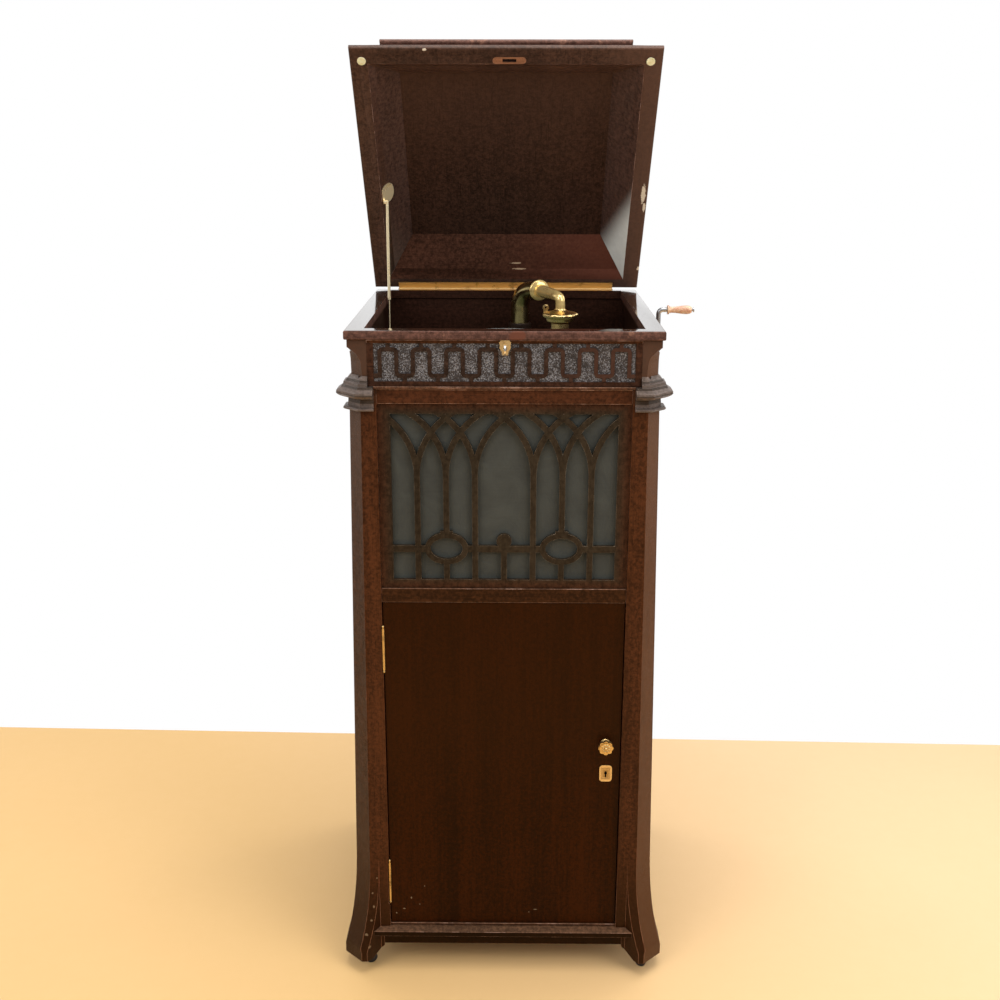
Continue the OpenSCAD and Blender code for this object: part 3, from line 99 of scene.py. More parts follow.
# ---------------------------------------------------------------- materials
class Graph:
    """Short ways to add nodes to a shader tree."""

    def __init__(self, tree):
        self.tree = tree

    def new(self, kind):
        return self.tree.nodes.new("ShaderNode" + kind)

    def put(self, socket, value):
        """Links the socket to another, or sets its number or colour."""
        if isinstance(value, bpy.types.NodeSocket):
            self.tree.links.new(value, socket)
        else:
            socket.default_value = value

    def node(self, kind, outlet, settings, **inputs):
        """A new node's outlet. Its inputs go by name, or as i0, i1 by number."""
        n = self.new(kind)
        for key, value in settings.items():
            setattr(n, key, value)
        for key, value in inputs.items():
            numbered = key[0] == "i" and key[1:].isdigit()
            self.put(n.inputs[int(key[1:]) if numbered else key.replace("_", " ")], value)
        return n.outputs[outlet]

    def calc(self, op, a, b, clamp=False):
        return self.node("Math", 0, {"operation": op, "use_clamp": clamp}, i0=a, i1=b)

    def sum(self, a, b, clamp=False):
        return self.calc("ADD", a, b, clamp)


class Look(Graph):
    """A material and the graph that feeds its shader; turn tilts its coordinates about x."""

    def __init__(self, name, turn=0.0, **values):
        self.mat = bpy.data.materials.new(name)
        self.mat.use_nodes = True
        super().__init__(self.mat.node_tree)
        self.shader = self.tree.nodes["Principled BSDF"]
        for key, value in values.items():
            self.shader.inputs[key.replace("_", " ")].default_value = value
        at = self.new("TexCoord").outputs["Object"]
        self.at = self.scaled(at, (1, 1, 1), turn) if turn else at

    def scaled(self, at, scale, turn=0.0):
        return self.node("Mapping", 0, {}, Vector=at, Scale=scale, Rotation=(turn, 0, 0))

    def noise(self, scale, detail=3.0, rough=0.5, twist=0.0, at=None):
        return self.node("TexNoise", "Fac", {}, Vector=at or self.at, Scale=scale, Detail=detail,
                         Roughness=rough, Distortion=twist)

    def cells(self, scale, feature="F1"):
        return self.node("TexVoronoi", "Distance", {"feature": feature}, Vector=self.at, Scale=scale)

    def ramp(self, value, *stops):
        """The value turned into greys or colours by (place, grey or colour) stops."""
        n = self.new("ValToRGB")
        while len(n.color_ramp.elements) < len(stops):
            n.color_ramp.elements.new(0.5)
        for e, (place, colour) in zip(n.color_ramp.elements, stops):
            e.position = place
            e.color = (*colour, 1) if hasattr(colour, "__len__") else (colour, colour, colour, 1)
        self.put(n.inputs[0], value)
        return n.outputs[0]

    def mix(self, share, a, b, blend="MIX"):
        """A share of colour b laid over colour a."""
        n = self.new("Mix")
        n.data_type, n.blend_type = "RGBA", blend
        for socket, value in ((n.inputs[0], share), (n.inputs[6], a), (n.inputs[7], b)):
            self.put(socket, (*value, 1) if isinstance(value, tuple) else value)
        return n.outputs[2]

    def span(self, value, lo, hi):
        """0..1 stretched to lo..hi."""
        return self.node("MapRange", 0, {}, Value=value, To_Min=lo, To_Max=hi)

    def vector(self, op, a, b=None, outlet=0):
        given = {"i0": a} if b is None else {"i0": a, "i1": b}
        return self.node("VectorMath", outlet, {"operation": op}, **given)

    def length(self, vector):
        return self.vector("LENGTH", vector, outlet="Value")

    def along(self, direction):
        """How far the place lies along the direction."""
        return self.vector("DOT_PRODUCT", self.at, direction, "Value")

    def around(self, centre, size=None):
        """The place measured from the centre, in metres or, with a size given, in sizes."""
        offset = self.vector("SUBTRACT", self.at, centre)
        return self.vector("DIVIDE", offset, size) if size else offset

    def reaches(self, vector):
        """How far a vector reaches along x, y and z, whatever its sign."""
        n = self.new("SeparateXYZ")
        self.put(n.inputs[0], self.vector("ABSOLUTE", vector))
        return n.outputs

    def bump(self, height, distance, strength=1.0, under=None):
        extra = {"Normal": under} if under else {}
        return self.node("Bump", 0, {}, Height=height, Distance=distance, Strength=strength, **extra)

    def out(self, colour=None, rough=None, normal=None):
        for key, value in (("Base Color", colour), ("Roughness", rough), ("Normal", normal)):
            if value is not None:
                self.put(self.shader.inputs[key], value)
        return self.mat


def srgb(r, g, b):
    """A colour as a screen shows it (0 to 255), as the shader's plain light."""
    shares = (r / 255, g / 255, b / 255)
    return tuple(c / 12.92 if c < 0.04045 else ((c + 0.055) / 1.055) ** 2.4 for c in shares)


LIGHT_SHARE = 0.86   # what a tone read from a lit front is worth as a surface colour
STRETCH = 0.035      # how much slower the wood's pattern changes along its grain
ALONG = {"x": (STRETCH, 1, 1), "y": (1, STRETCH, 1), "z": (1, 1, STRETCH)}
GLASSY = 0.6         # share of coat from which the varnish counts as thick and glassy


def wood(name, grain, tone, spread, turn=0.0, gloss=0.34, spec=0.12, coat=0.0, worn=0.0, worn_colour=None,
         haze=0.0, craze=0.0, tints_and_painted_light=(), patches=(), core=()):
    """Stained mahogany under old varnish, of the tone on average, its grain along x, y or z.

    worn is the share whose staining has rubbed off, haze greys the varnish in clouds, and craze is the
    depth of its cracks. The tints towards one side, (direction, lowest, highest, colour, share), are the
    wood's own colour on some pieces and painted light, painted sheen and painted reflection on others.
    patches: (centre, size, colour, fineness of edge) are ragged spots. core: (centre, half size,
    colour) is another colour in a box that runs on along y; on the capitals it is painted shade. All
    of them are placed in the look's own coordinates."""
    k = Look(name, turn, Specular_IOR_Level=spec, Specular_Tint=(1.0, 0.72, 0.52, 1.0), Coat_Weight=coat,
             Coat_Roughness=0.05, Coat_IOR=1.9 if coat > GLASSY else 1.5)
    run = k.scaled(k.at, ALONG[grain])
    tone = tuple(c * LIGHT_SHARE for c in tone)
    ribbon = k.noise(24, 2, 0.5, 0.4, run)
    streak = k.noise(170, 5, 0.66, 0.2, run)
    fleck = k.noise(900, 2, 0.5, 0, run)
    cloud = k.noise(3.4, 3, 0.55)
    mottle = k.noise(150, 6, 0.8)
    shade = k.sum(k.sum(k.span(ribbon, -spread * 1.1, spread * 1.1), k.span(streak, -spread, spread)),
                  k.span(mottle, -1.7, 1.7))
    shade = k.sum(k.sum(shade, k.span(cloud, -0.35, 0.35)), 0.5, clamp=True)
    low, high = tuple(c * 0.52 for c in tone), tuple(c * f for c, f in zip(tone, (1.55, 1.5, 1.45)))
    colour = k.ramp(shade, (0.1, low), (0.5, tone), (0.9, high))
    pore = k.ramp(fleck, (0.60, 0.0), (0.68, 1.0))
    colour = k.mix(k.span(pore, 0.0, 0.5), colour, tuple(c * 0.3 for c in low))
    # Another colour in a box; on the capitals its dark bands are painted shade under the steps
    for centre, half, core_colour in core:
        across, _, upward = k.reaches(k.around(centre, half))
        reach = k.calc("MAXIMUM", across, upward)
        overlay = k.mix(0.75, core_colour, k.ramp(shade, (0.1, 0.4), (0.9, 1.5)), "MULTIPLY")
        colour = k.mix(k.ramp(reach, (0.90, 1.0), (1.0, 0.0)), colour, overlay)
    if haze:
        veil = k.ramp(k.noise(70, 6, 0.75), (0.40, 0.0), (0.62, 1.0))
        colour = k.mix(k.span(veil, haze * 0.3, haze), colour, (0.14, 0.112, 0.095))
    # Tints towards one side: the wood's own colour on some pieces, painted light, painted sheen and painted
    # reflection on others
    for direction, lowest, highest, tint_colour, share in tints_and_painted_light:
        rise = k.node("MapRange", 0, {"interpolation_type": "SMOOTHSTEP"}, Value=k.along(direction),
                      From_Min=lowest, From_Max=highest)
        soft = k.calc("MULTIPLY", rise, k.span(k.noise(40, 5, 0.7), 0.75, 1.05), clamp=True)
        colour = k.mix(k.calc("MULTIPLY", soft, share), colour, tint_colour)
    if worn:
        rub = k.sum(k.noise(30, 6, 0.74), k.span(k.noise(5, 2), -0.12, 0.12))
        later = 0.24 * (0.5 - worn)
        rub = k.ramp(rub, (0.5 + later, 0.0), (0.57 + later, 1.0))
        colour = k.mix(rub, colour, worn_colour)
    for centre, size, patch_colour, edge in patches:
        ragged = k.sum(k.length(k.around(centre, size)), k.span(k.noise(edge, 4, 0.7), -0.7, 0.7))
        colour = k.mix(k.ramp(ragged, (0.75, 1.0), (0.9, 0.0)), colour, patch_colour)
    rough = k.span(k.noise(34, 4, 0.6), gloss - 0.05, gloss + 0.1 + haze * 0.2)
    normal = k.bump(k.noise(420, 2, 0.5), 0.00005)
    normal = k.bump(k.span(pore, 1, 0), 0.00012, 0.6, normal)
    if craze:
        crack = k.ramp(k.cells(300, "DISTANCE_TO_EDGE"), (0.0, 0.0), (0.09, 1.0))
        normal = k.bump(crack, 0.0004, craze, normal)
    return k.out(colour, rough, normal)


def metal(name, colour, dirt, rough, spots, grime=45.0, metallic=1.0):
    """Old metal: its polish, tarnish in clouds and fine scratches."""
    k = Look(name, Metallic=metallic)
    cloud = k.noise(grime, 5, 0.62)
    fine = k.noise(400, 3, 0.6)
    overlay = k.ramp(k.sum(cloud, k.span(fine, -0.1, 0.1)), (0.62 - spots * 0.3, 0.0), (0.72, 1.0))
    tint = k.mix(overlay, colour, dirt)
    return k.out(tint, k.span(k.sum(overlay, k.span(fine, 0, 0.4)), rough, rough + 0.3),
                 k.bump(k.noise(700, 2, 0.5, 2.0), 0.000015))


# The hinge axis in the turned coordinates of the lid's materials
LID_ORIGIN = Matrix.Rotation(LID_TURN, 3, "X") @ cab(0, RIM_HALF, RIM_TOP)


def lid_spot(x, s, h):
    """A point of the lid, given as in lid(), in the same turned coordinates."""
    return tuple(LID_ORIGIN + Vector((x, -s, h)) * MM)


UP, ACROSS, TO_FRONT = (0, 0, 1), (1, 0, 0), (0, -1, 0)
ORANGE = srgb(158, 96, 68)
CREAM = srgb(214, 202, 182)

# Painted sheens, painted reflections of bright light, on the lid's two side slopes start at lines that lean
# across the grain
PAINTED_SHEEN_LEAN = 3.12
painted_sheen_from = LID_ORIGIN.y + PAINTED_SHEEN_LEAN * MID_X + 0.487
left_painted_sheen_from = painted_sheen_from - 2 * PAINTED_SHEEN_LEAN * MID_X
right_painted_sheen = ((PAINTED_SHEEN_LEAN, 1, 0), painted_sheen_from - 0.02, painted_sheen_from + 0.10, (0.90, 0.91, 0.86), 0.95)
left_painted_sheen = ((-PAINTED_SHEEN_LEAN, 1, 0), left_painted_sheen_from - 0.02, left_painted_sheen_from + 0.25, srgb(108, 94, 84), 0.6)

# The panel of the grille is darker than its border
grille_lo, grille_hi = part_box("grille_tracery")
grille_mid, grille_half = (grille_lo + grille_hi) / 2, (grille_hi - grille_lo) / 2
grille_core = (tuple(grille_mid), (grille_half.x * 0.99, 1.0, grille_half.z * 0.985), srgb(46, 38, 28))

# Chips and scratches. The numbers in mm say where they are, and half their width and half their
# height or length; the ragged edge's fineness comes last
door_chips = [(tuple(cab(x, -272, z)), (w * MM, 0.004, h * MM), srgb(120, 104, 84), 300)
              for x, z, w, h in ((-190, 128, 3, 1.4), (-176, 152, 1.6, 2.4), (-205, 118, 1.6, 1.8),
                                 (62, 128, 4, 1.0), (50, 122, 1.4, 1.2), (-150, 178, 1.2, 1.2),
                                 (-160, 138, 1.2, 1.2))]
foot_chips = [(tuple(cab(x, y, z)), (w * MM, 0.05, h * MM), srgb(112, 92, 70), 260)
              for x, y, z, w, h in ((-252, -285, 112, 3, 3), (-247, -285, 140, 2, 3),
                                    (-262, -285, 84, 4, 3), (-240, -283, 200, 1.5, 2),
                                    (-256, -285, 60, 3, 4), (-249, -283, 168, 2, 2))]
lid_rim_chips = [(lid_spot(x, s, -0.5), (w * MM, run * MM, 0.02), CREAM, 260)
                 for x, s, w, run in ((262, 250, 5, 26), (266, 218, 3, 13), (268, 58, 3, 6),
                                      (-140, 562, 4, 2.5))]
back_slope_scratches = [(lid_spot(x, s, h), (w * MM, 0.0016, 0.004), srgb(190, 160, 130), 200)
                        for x, s, h, w in ((20, 56, 17, 13), (26, 46, 11, 17))]
ceiling_scratches = [(lid_spot(x, s, 47), (w * MM, run * MM, 0.01), srgb(118, 104, 94), 120)
                     for x, s, w, run in ((-203, 330, 0.9, 44), (-199, 300, 0.7, 26),
                                          (-212, 372, 7, 0.9))]
rim_chip = (tuple(cab(22, -RIM_HALF, 1234)), (0.016, 0.01, 0.012), srgb(98, 60, 47), 30)

# Painted shade under the steps of the capitals, as dark bands: height over the floor and half the step, mm
cap_step_shade = [(tuple(cab(0, 0, z)), (0.4, 1.0, h * MM), colour)
             for z, h, colour in ((1123, 5, srgb(34, 26, 22)), (1103, 4, srgb(34, 26, 22)),
                                  (1146.5, 2, srgb(36, 28, 24)), (1157, 1.6, srgb(40, 32, 28)),
                                  (1135, 1.5, srgb(44, 35, 30)))]

door_wood = wood("mahogany_door", "z", srgb(41, 14, 1), 0.6, patches=door_chips,
                 tints_and_painted_light=[(UP, 0.25, 0.55, srgb(43, 20, 5), 0.5)])
post_wood = wood("mahogany_post", "z", srgb(70, 39, 21), 0.45, patches=foot_chips,
                 tints_and_painted_light=[(UP, 1.10, 1.19, srgb(78, 58, 47), 0.8), (UP, 0.32, 0.09, srgb(36, 18, 5), 0.85)])
# The cants: greyer towards the top, partly bloomed varnish and partly painted sheen; darker towards the
# floor; lighter on the right post, painted light
cant_wood = wood("mahogany_cant", "z", srgb(68, 41, 25), 0.4, haze=0.2, craze=0.7,
                 tints_and_painted_light=[(UP, 0.75, 1.15, srgb(98, 78, 66), 0.5), (UP, 0.34, 0.08, srgb(44, 24, 9), 0.85),
                        (ACROSS, 0.1, 0.2, srgb(112, 73, 46), 0.45)])
rail_wood = wood("mahogany_rail", "x", srgb(70, 39, 23), 0.4)
frieze_wood = wood("mahogany_frieze", "x", srgb(62, 38, 27), 0.4)
mid_wood = wood("mahogany_mid_rail", "x", srgb(59, 34, 18), 0.4)
side_wood = wood("mahogany_side", "z", srgb(72, 42, 25), 0.45, spec=0.3)
grille_wood = wood("mahogany_grille", "z", srgb(66, 39, 25), 0.4, core=[grille_core])
rim_wood = wood("mahogany_rim", "x", srgb(98, 69, 60), 0.45, worn=0.12, worn_colour=srgb(128, 92, 76),
                patches=[rim_chip])
rim_top_wood = wood("mahogany_rim_top", "y", srgb(46, 28, 20), 0.4, gloss=0.08, spec=0.5, coat=1.0)
well_wood = wood("mahogany_well", "x", srgb(46, 27, 20), 0.4)
deck_wood = wood("mahogany_deck", "x", srgb(30, 17, 12), 0.4)
# Lighter towards the right side: painted light
frame_wood = wood("mahogany_lid_frame", "y", srgb(70, 49, 40), 0.35, LID_TURN, haze=0.06,
                  patches=lid_rim_chips, tints_and_painted_light=[(ACROSS, 0.12, 0.25, srgb(92, 68, 58), 0.7)])
# The inner side slopes carry the two painted sheens
slope_wood = wood("mahogany_lid_slope", "y", srgb(78, 55, 47), 0.3, LID_TURN, haze=0.06,
                  tints_and_painted_light=[left_painted_sheen, right_painted_sheen])
slope_out_wood = wood("mahogany_lid_outside", "y", srgb(92, 60, 48), 0.4, LID_TURN, haze=0.1, spec=0.3)
# Lighter towards the right: painted light
back_slope_wood = wood("mahogany_lid_back_slope", "x", srgb(80, 51, 39), 0.25, LID_TURN,
                       tints_and_painted_light=[(ACROSS, -0.1, 0.25, srgb(108, 61, 48), 0.8)], patches=back_slope_scratches)
panel_wood = wood("mahogany_lid_panel", "y", srgb(62, 42, 33), 0.22, LID_TURN, patches=ceiling_scratches,
                  tints_and_painted_light=[(TO_FRONT, 0.25 - LID_ORIGIN.y, 0.6 - LID_ORIGIN.y, srgb(82, 60, 50), 0.7)])
# The capitals carry the painted shade of their steps
cap_wood = wood("mahogany_capital", "x", srgb(102, 89, 83), 0.5, haze=0.3, craze=1.0, spec=0.4,
                core=cap_step_shade)
# Lighter and redder towards the right: painted light
fret_wood = wood("mahogany_fret", "x", srgb(52, 38, 31), 0.35, spec=0.2,
                 tints_and_painted_light=[(ACROSS, -0.02, 0.16, srgb(76, 48, 38), 0.6)])
skirt_wood = wood("mahogany_skirt", "x", srgb(25, 9, 1), 0.4)
# Paler wood for the ledges' upward faces: painted light
ledge_wood = wood("mahogany_base_ledge", "x", srgb(96, 68, 49), 0.4)
edge_rub = wood("mahogany_rubbed_edge", "x", srgb(84, 50, 34), 0.4, worn=0.5, worn_colour=ORANGE)
edge_soft = wood("mahogany_soft_edge", "x", srgb(72, 44, 30), 0.4, worn=0.18,
                 worn_colour=srgb(118, 80, 62))
edge_fine = wood("mahogany_fine_edge", "x", srgb(74, 56, 44), 0.4, worn=0.1,
                 worn_colour=srgb(132, 110, 90))
# Pale arrises of the capitals: painted highlight, with patches of wear
edge_cap = wood("mahogany_capital_edge", "x", srgb(156, 146, 140), 0.4, worn=0.3,
                worn_colour=srgb(206, 200, 192))
edge_dim = wood("mahogany_dim_edge", "x", srgb(60, 44, 36), 0.4)
# Pale arrises of the tracery: painted highlight, with patches of wear
edge_bar = wood("mahogany_bar_edge", "z", srgb(120, 102, 84), 0.4, worn=0.4,
                worn_colour=srgb(172, 154, 134))
edge_post = wood("mahogany_post_edge", "z", srgb(84, 52, 34), 0.4, worn=0.35, worn_colour=ORANGE,
                 tints_and_painted_light=[(UP, 0.24, 0.12, srgb(222, 156, 120), 0.95)])
# Pale arrises of the ledges and rails: painted highlight, with patches of wear
edge_ledge = wood("mahogany_ledge_edge", "x", srgb(124, 92, 74), 0.4, worn=0.35,
                  worn_colour=srgb(156, 124, 108))
edge_lid = wood("mahogany_lid_edge", "x", srgb(116, 84, 72), 0.4, worn=0.5,
                worn_colour=srgb(206, 164, 148))
plain_wood = wood("bare_poplar", "x", (0.21, 0.12, 0.055), 0.2, gloss=0.6)

brass = metal("old_brass", (0.70, 0.48, 0.20), (0.28, 0.17, 0.06), 0.32, 0.25)
gilt = metal("gilt_brass", (0.90, 0.64, 0.28), (0.42, 0.26, 0.09), 0.22, 0.12)
plate_brass = metal("brass_plate", (0.86, 0.62, 0.30), (0.42, 0.27, 0.11), 0.38, 0.2)
green_brass = metal("greened_brass", (0.60, 0.47, 0.22), (0.28, 0.21, 0.09), 0.16, 0.2, 18)
arm_gilt = metal("arm_gilt", (1.0, 0.72, 0.29), (0.34, 0.19, 0.06), 0.1, 0.35, 60, metallic=0.62)
pale_brass = metal("pale_brass", (1.0, 0.84, 0.54), (0.62, 0.45, 0.20), 0.16, 0.1, 18, metallic=0.5)
platter_steel = metal("platter_steel", (0.14, 0.12, 0.11), (0.06, 0.05, 0.04), 0.4, 0.3)
steel = metal("dull_steel", (0.46, 0.46, 0.47), (0.20, 0.16, 0.13), 0.32, 0.3)
nickel = metal("nickel_plate", (0.80, 0.78, 0.74), (0.46, 0.43, 0.38), 0.2, 0.1)
copper = metal("coppered_plate", (0.66, 0.36, 0.27), (0.34, 0.17, 0.12), 0.3, 0.3)


def enamel(name, dark, pale):
    """Stoved paint, glossy and slightly uneven."""
    k = Look(name, Specular_IOR_Level=0.2)
    colour = k.ramp(k.noise(30, 4, 0.6), (0.35, dark), (0.7, pale))
    return k.out(colour, k.span(k.noise(60, 3), 0.3, 0.55), k.bump(k.noise(500, 2), 0.00008))


def ground():
    """The frieze's stippled ground, rubbed with silver."""
    k = Look("stippled_ground", Specular_IOR_Level=0.4)
    dots = k.cells(900)
    coarse = k.cells(420)
    silver = k.sum(k.noise(430, 3, 0.75), k.span(k.noise(60, 3), -0.12, 0.12))
    glint = k.ramp(silver, (0.50, 0.0), (0.60, 1.0))
    base = k.ramp(k.noise(30, 5, 0.7), (0.3, srgb(36, 30, 29)), (0.7, srgb(56, 48, 46)))
    colour = k.mix(glint, base, srgb(124, 123, 126))
    normal = k.bump(dots, 0.0006, 0.7, k.bump(coarse, 0.0008, 0.6))
    return k.out(colour, k.span(glint, 0.55, 0.38), normal)


def weave():
    """Silk-like grille cloth: fine warp and weft with soft slubs."""
    k = Look("grille_silk", Sheen_Weight=0.25, Sheen_Roughness=0.4)
    warp, weft = (k.node("TexWave", "Fac", {"bands_direction": axis}, Vector=k.at, Scale=420.0,
                         Distortion=0.6, Detail=2.0) for axis in "XZ")
    slub = k.noise(260, 3, 0.6, 0, k.scaled(k.at, (0.08, 1, 1)))
    fold = k.noise(16, 4, 0.6, 0.8)
    colour = k.ramp(fold, (0.28, (0.020, 0.022, 0.018)), (0.72, (0.048, 0.052, 0.043)))
    colour = k.mix(k.span(slub, 0.0, 0.5), colour, (0.060, 0.063, 0.053))
    crossings = k.ramp(k.calc("MULTIPLY", warp, weft), (0.0, 0.55), (1.0, 1.35))
    colour = k.mix(0.35, colour, crossings, "MULTIPLY")
    normal = k.bump(k.sum(warp, weft), 0.00012, 0.6, k.bump(fold, 0.004, 0.5))
    return k.out(colour, 0.8, normal)


def felt():
    """The platter's green felt: fuzz, paler and darker in clouds."""
    k = Look("platter_felt", Sheen_Weight=0.5, Sheen_Roughness=0.6)
    fuzz = k.noise(900, 5, 0.8)
    colour = k.ramp(k.sum(fuzz, k.span(k.noise(12, 4), -0.25, 0.25)), (0.3, (0.020, 0.042, 0.018)),
                    (0.7, (0.060, 0.105, 0.045)))
    return k.out(colour, 0.95, k.bump(fuzz, 0.0006))


def ivory():
    """The lid's two bumpers, yellowed unevenly."""
    k = Look("aged_bumper", Subsurface_Weight=0.1)
    colour = k.ramp(k.noise(120, 4, 0.6), (0.35, (0.74, 0.66, 0.36)), (0.65, (0.88, 0.83, 0.60)))
    return k.out(colour, k.span(k.noise(200), 0.35, 0.55), k.bump(k.noise(500, 2), 0.00006))


def turned():
    """The crank handle's thin red stain, worn through to pale wood."""
    k = Look("handle_wood", Coat_Weight=0.3, Coat_Roughness=0.25)
    streak = k.noise(240, 4, 0.6, 0.2, k.scaled(k.at, ALONG["x"]))
    pale = k.ramp(streak, (0.3, (0.56, 0.34, 0.19)), (0.7, (0.80, 0.58, 0.38)))
    rub = k.ramp(k.noise(70, 5, 0.7), (0.42, 0.0), (0.60, 1.0))
    return k.out(k.mix(rub, pale, (0.52, 0.23, 0.13)), k.span(streak, 0.3, 0.5), k.bump(streak, 0.0001))


def lock_look():
    """Stamped plate: bright border, sunk middle, and the keyhole's shadow."""
    lo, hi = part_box("door_lock_plate")
    mid, half = (lo + hi) / 2, (hi - lo) / 2
    k = Look("stamped_lock_plate", Metallic=0.8)
    across, _, upward = k.reaches(k.around(tuple(mid)))
    reach = k.calc("MAXIMUM", k.calc("DIVIDE", across, half.x), k.calc("DIVIDE", upward, half.z))
    dirt = k.span(k.noise(260, 4, 0.7), 0.75, 1.15)
    sunk, groove = (0.42, 0.27, 0.10), (0.34, 0.21, 0.08)
    colour = k.ramp(reach, (0.0, sunk), (0.50, sunk), (0.54, (0.80, 0.56, 0.26)), (0.62, groove),
                    (0.70, (0.62, 0.42, 0.18)), (1.0, (0.86, 0.62, 0.30)))
    colour = k.mix(1.0, colour, dirt, "MULTIPLY")
    for rise, half_w, half_h in ((2.5, 2.6, 2.6), (-2.0, 1.5, 5.0)):   # the keyhole's eye and its slot, mm
        middle = tuple(mid + Vector((0, 0, rise * MM)))
        hole = k.length(k.around(middle, (half_w * MM, 1, half_h * MM)))
        colour = k.mix(k.ramp(hole, (0.85, 1.0), (1.0, 0.0)), colour, (0.006, 0.004, 0.002))
    step = k.ramp(reach, (0.52, 0.0), (0.66, 1.0))
    return k.out(colour, k.span(dirt, 0.5, 0.34), k.bump(step, 0.0006, 0.6))


iron = enamel("black_enamel", (0.012, 0.012, 0.013), (0.034, 0.030, 0.028))
japan = enamel("brown_japan", (0.014, 0.007, 0.004), (0.034, 0.018, 0.011))
silk, cloth_green = weave(), felt()
cream, handle_look = ivory(), turned()
dark_slot = Look("screw_slot_shadow").out((0.01, 0.008, 0.006, 1), 0.8)


# ---------------------------------------------------------------- pieces
def body_name(node):
    return nodes[node].parent.name.replace("body:", "")


def add(name, mesh, body, slot, *materials):
    """A new piece from the mesh, riding on its body."""
    obj = bpy.data.objects.new(name, mesh)
    bpy.context.scene.collection.objects.link(obj)
    for m in materials:
        mesh.materials.append(m)
    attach(obj, body)
    return obj


def smooth(mesh, angle):
    """Smooth shading, broken where faces meet at more than the angle in degrees."""
    for face in mesh.polygons:
        face.use_smooth = True
    mesh.set_sharp_from_angle(angle=math.radians(angle))


def clean_copy(node):
    """The node's solid as a joined mesh with whole flat faces."""
    bm = bmesh.new()
    bm.from_mesh(nodes[node].data)
    bmesh.ops.remove_doubles(bm, verts=bm.verts, dist=WELD)
    bmesh.ops.dissolve_limit(bm, angle_limit=math.radians(FLAT), verts=bm.verts, edges=bm.edges)
    return bm


def soften(obj, width, segments):
    """Rounds the weighted arrises; the rounded faces take the second look."""
    b = obj.modifiers.new("arris", "BEVEL")
    b.width, b.segments, b.limit_method = width * MM, segments, "WEIGHT"
    b.material = 1
    b.harden_normals = True
    b.use_clamp_overlap = True


def dressed(node, slot, look, edge, width, segments=2, change=None, others=(), keep=None):
    """A copy of the node's solid with its arrises rounded by width mm, and the edge's look on them.

    change(bm) may give faces the other looks, which count from 2 up; keep(e) says which arrises
    stay as they are."""
    bm = clean_copy(node)
    if change:
        change(bm)
    weight = bm.edges.layers.float.new("bevel_weight_edge")
    for e in bm.edges:
        sharp = len(e.link_faces) == 2 and e.calc_face_angle() > math.radians(CREASE)
        if sharp and not (keep and keep(e)):
            e[weight] = 1.0
    mesh = bpy.data.meshes.new(node + "_dressed")
    bm.to_mesh(mesh)
    bm.free()
    smooth(mesh, CREASE)
    obj = add(node + "_dressed", mesh, body_name(node), slot, look, edge, *others)
    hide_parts(node)
    soften(obj, width, segments)


def faces(slot_number, test):
    """A change for dressed(): the faces whose middle and normal pass the test get that look."""
    def change(bm):
        for f in bm.faces:
            if test(f.calc_center_median(), f.normal):
                f.material_index = slot_number
    return change


def paint(look, *names):
    """Shows the nodes' own solids in the look."""
    for name in names:
        for material_slot in nodes[name].material_slots:
            material_slot.link = "OBJECT"
            material_slot.material = look


def is_cant(c, n):
    """The canted corner of a front post, and its outer side."""
    outward = n.x * (c.x - MID_X) > 0
    return outward and (abs(n.x) > 0.35 and n.y < -0.35 or abs(n.x) > 0.9)


def rail_faces(bm):
    """The lower rail and the sill, and the upward faces of the ledge under the frieze, which take the paler
    ledge wood as painted light.
    """
    faces(2, lambda c, n: c.z < 0.9)(bm)
    faces(3, lambda c, n: c.z > 1.0 and n.z > 0.5 and n.y < 0.1)(bm)


def rim_faces(bm):
    """The rim's top, and the inner face of its back."""
    faces(2, lambda c, n: n.z > 0.9)(bm)
    faces(3, lambda c, n: n.y < -0.9 and c.y > MID_Y)(bm)


def is_ledge(c, n):
    """The upper slopes of the base's ledge, which take the paler ledge wood as painted light."""
    return c.z > 0.079 and n.z > 0.2


def is_frieze_ground(c, n):
    """The sunk field behind the fret."""
    return n.y < -0.9 and abs(c.y - FRIEZE_FIELD_Y) < 0.0008


dressed("rear_posts", "mahogany", post_wood, edge_soft, 1.0)
dressed("post_capitals", "mahogany", cap_wood, edge_cap, 0.5, 1)
dressed("side_panels", "mahogany", side_wood, edge_soft, 1.2)
dressed("back_panel", "mahogany_red", side_wood, edge_soft, 0.6)
dressed("floor_board", "bare_wood", plain_wood, plain_wood, 0.6)
dressed("record_shelves", "bare_wood", plain_wood, plain_wood, 0.6)
dressed("base_mouldings", "mahogany_red", skirt_wood, edge_ledge, 1.1,
        change=faces(2, is_ledge), others=(ledge_wood,))
dressed("top_rim", "mahogany_red", rim_wood, edge_rub, 0.7, change=rim_faces,
        others=(rim_top_wood, well_wood))
dressed("frieze_panel", "mahogany", frieze_wood, edge_dim, 0.4, change=faces(2, is_frieze_ground),
        others=(ground(),))
dressed("frieze_fret", "mahogany_red", fret_wood, edge_dim, 0.5)
dressed("front_rails", "mahogany_red", rail_wood, edge_ledge, 0.9, change=rail_faces,
        others=(mid_wood, ledge_wood))
dressed("grille_tracery", "mahogany", grille_wood, edge_bar, 1.0)
dressed("motor_board", "mahogany", deck_wood, deck_wood, 0.6)
dressed("well_lining", "mahogany_red", well_wood, well_wood, 0.5)
dressed("door_panel", "mahogany", door_wood, edge_soft, 0.8)


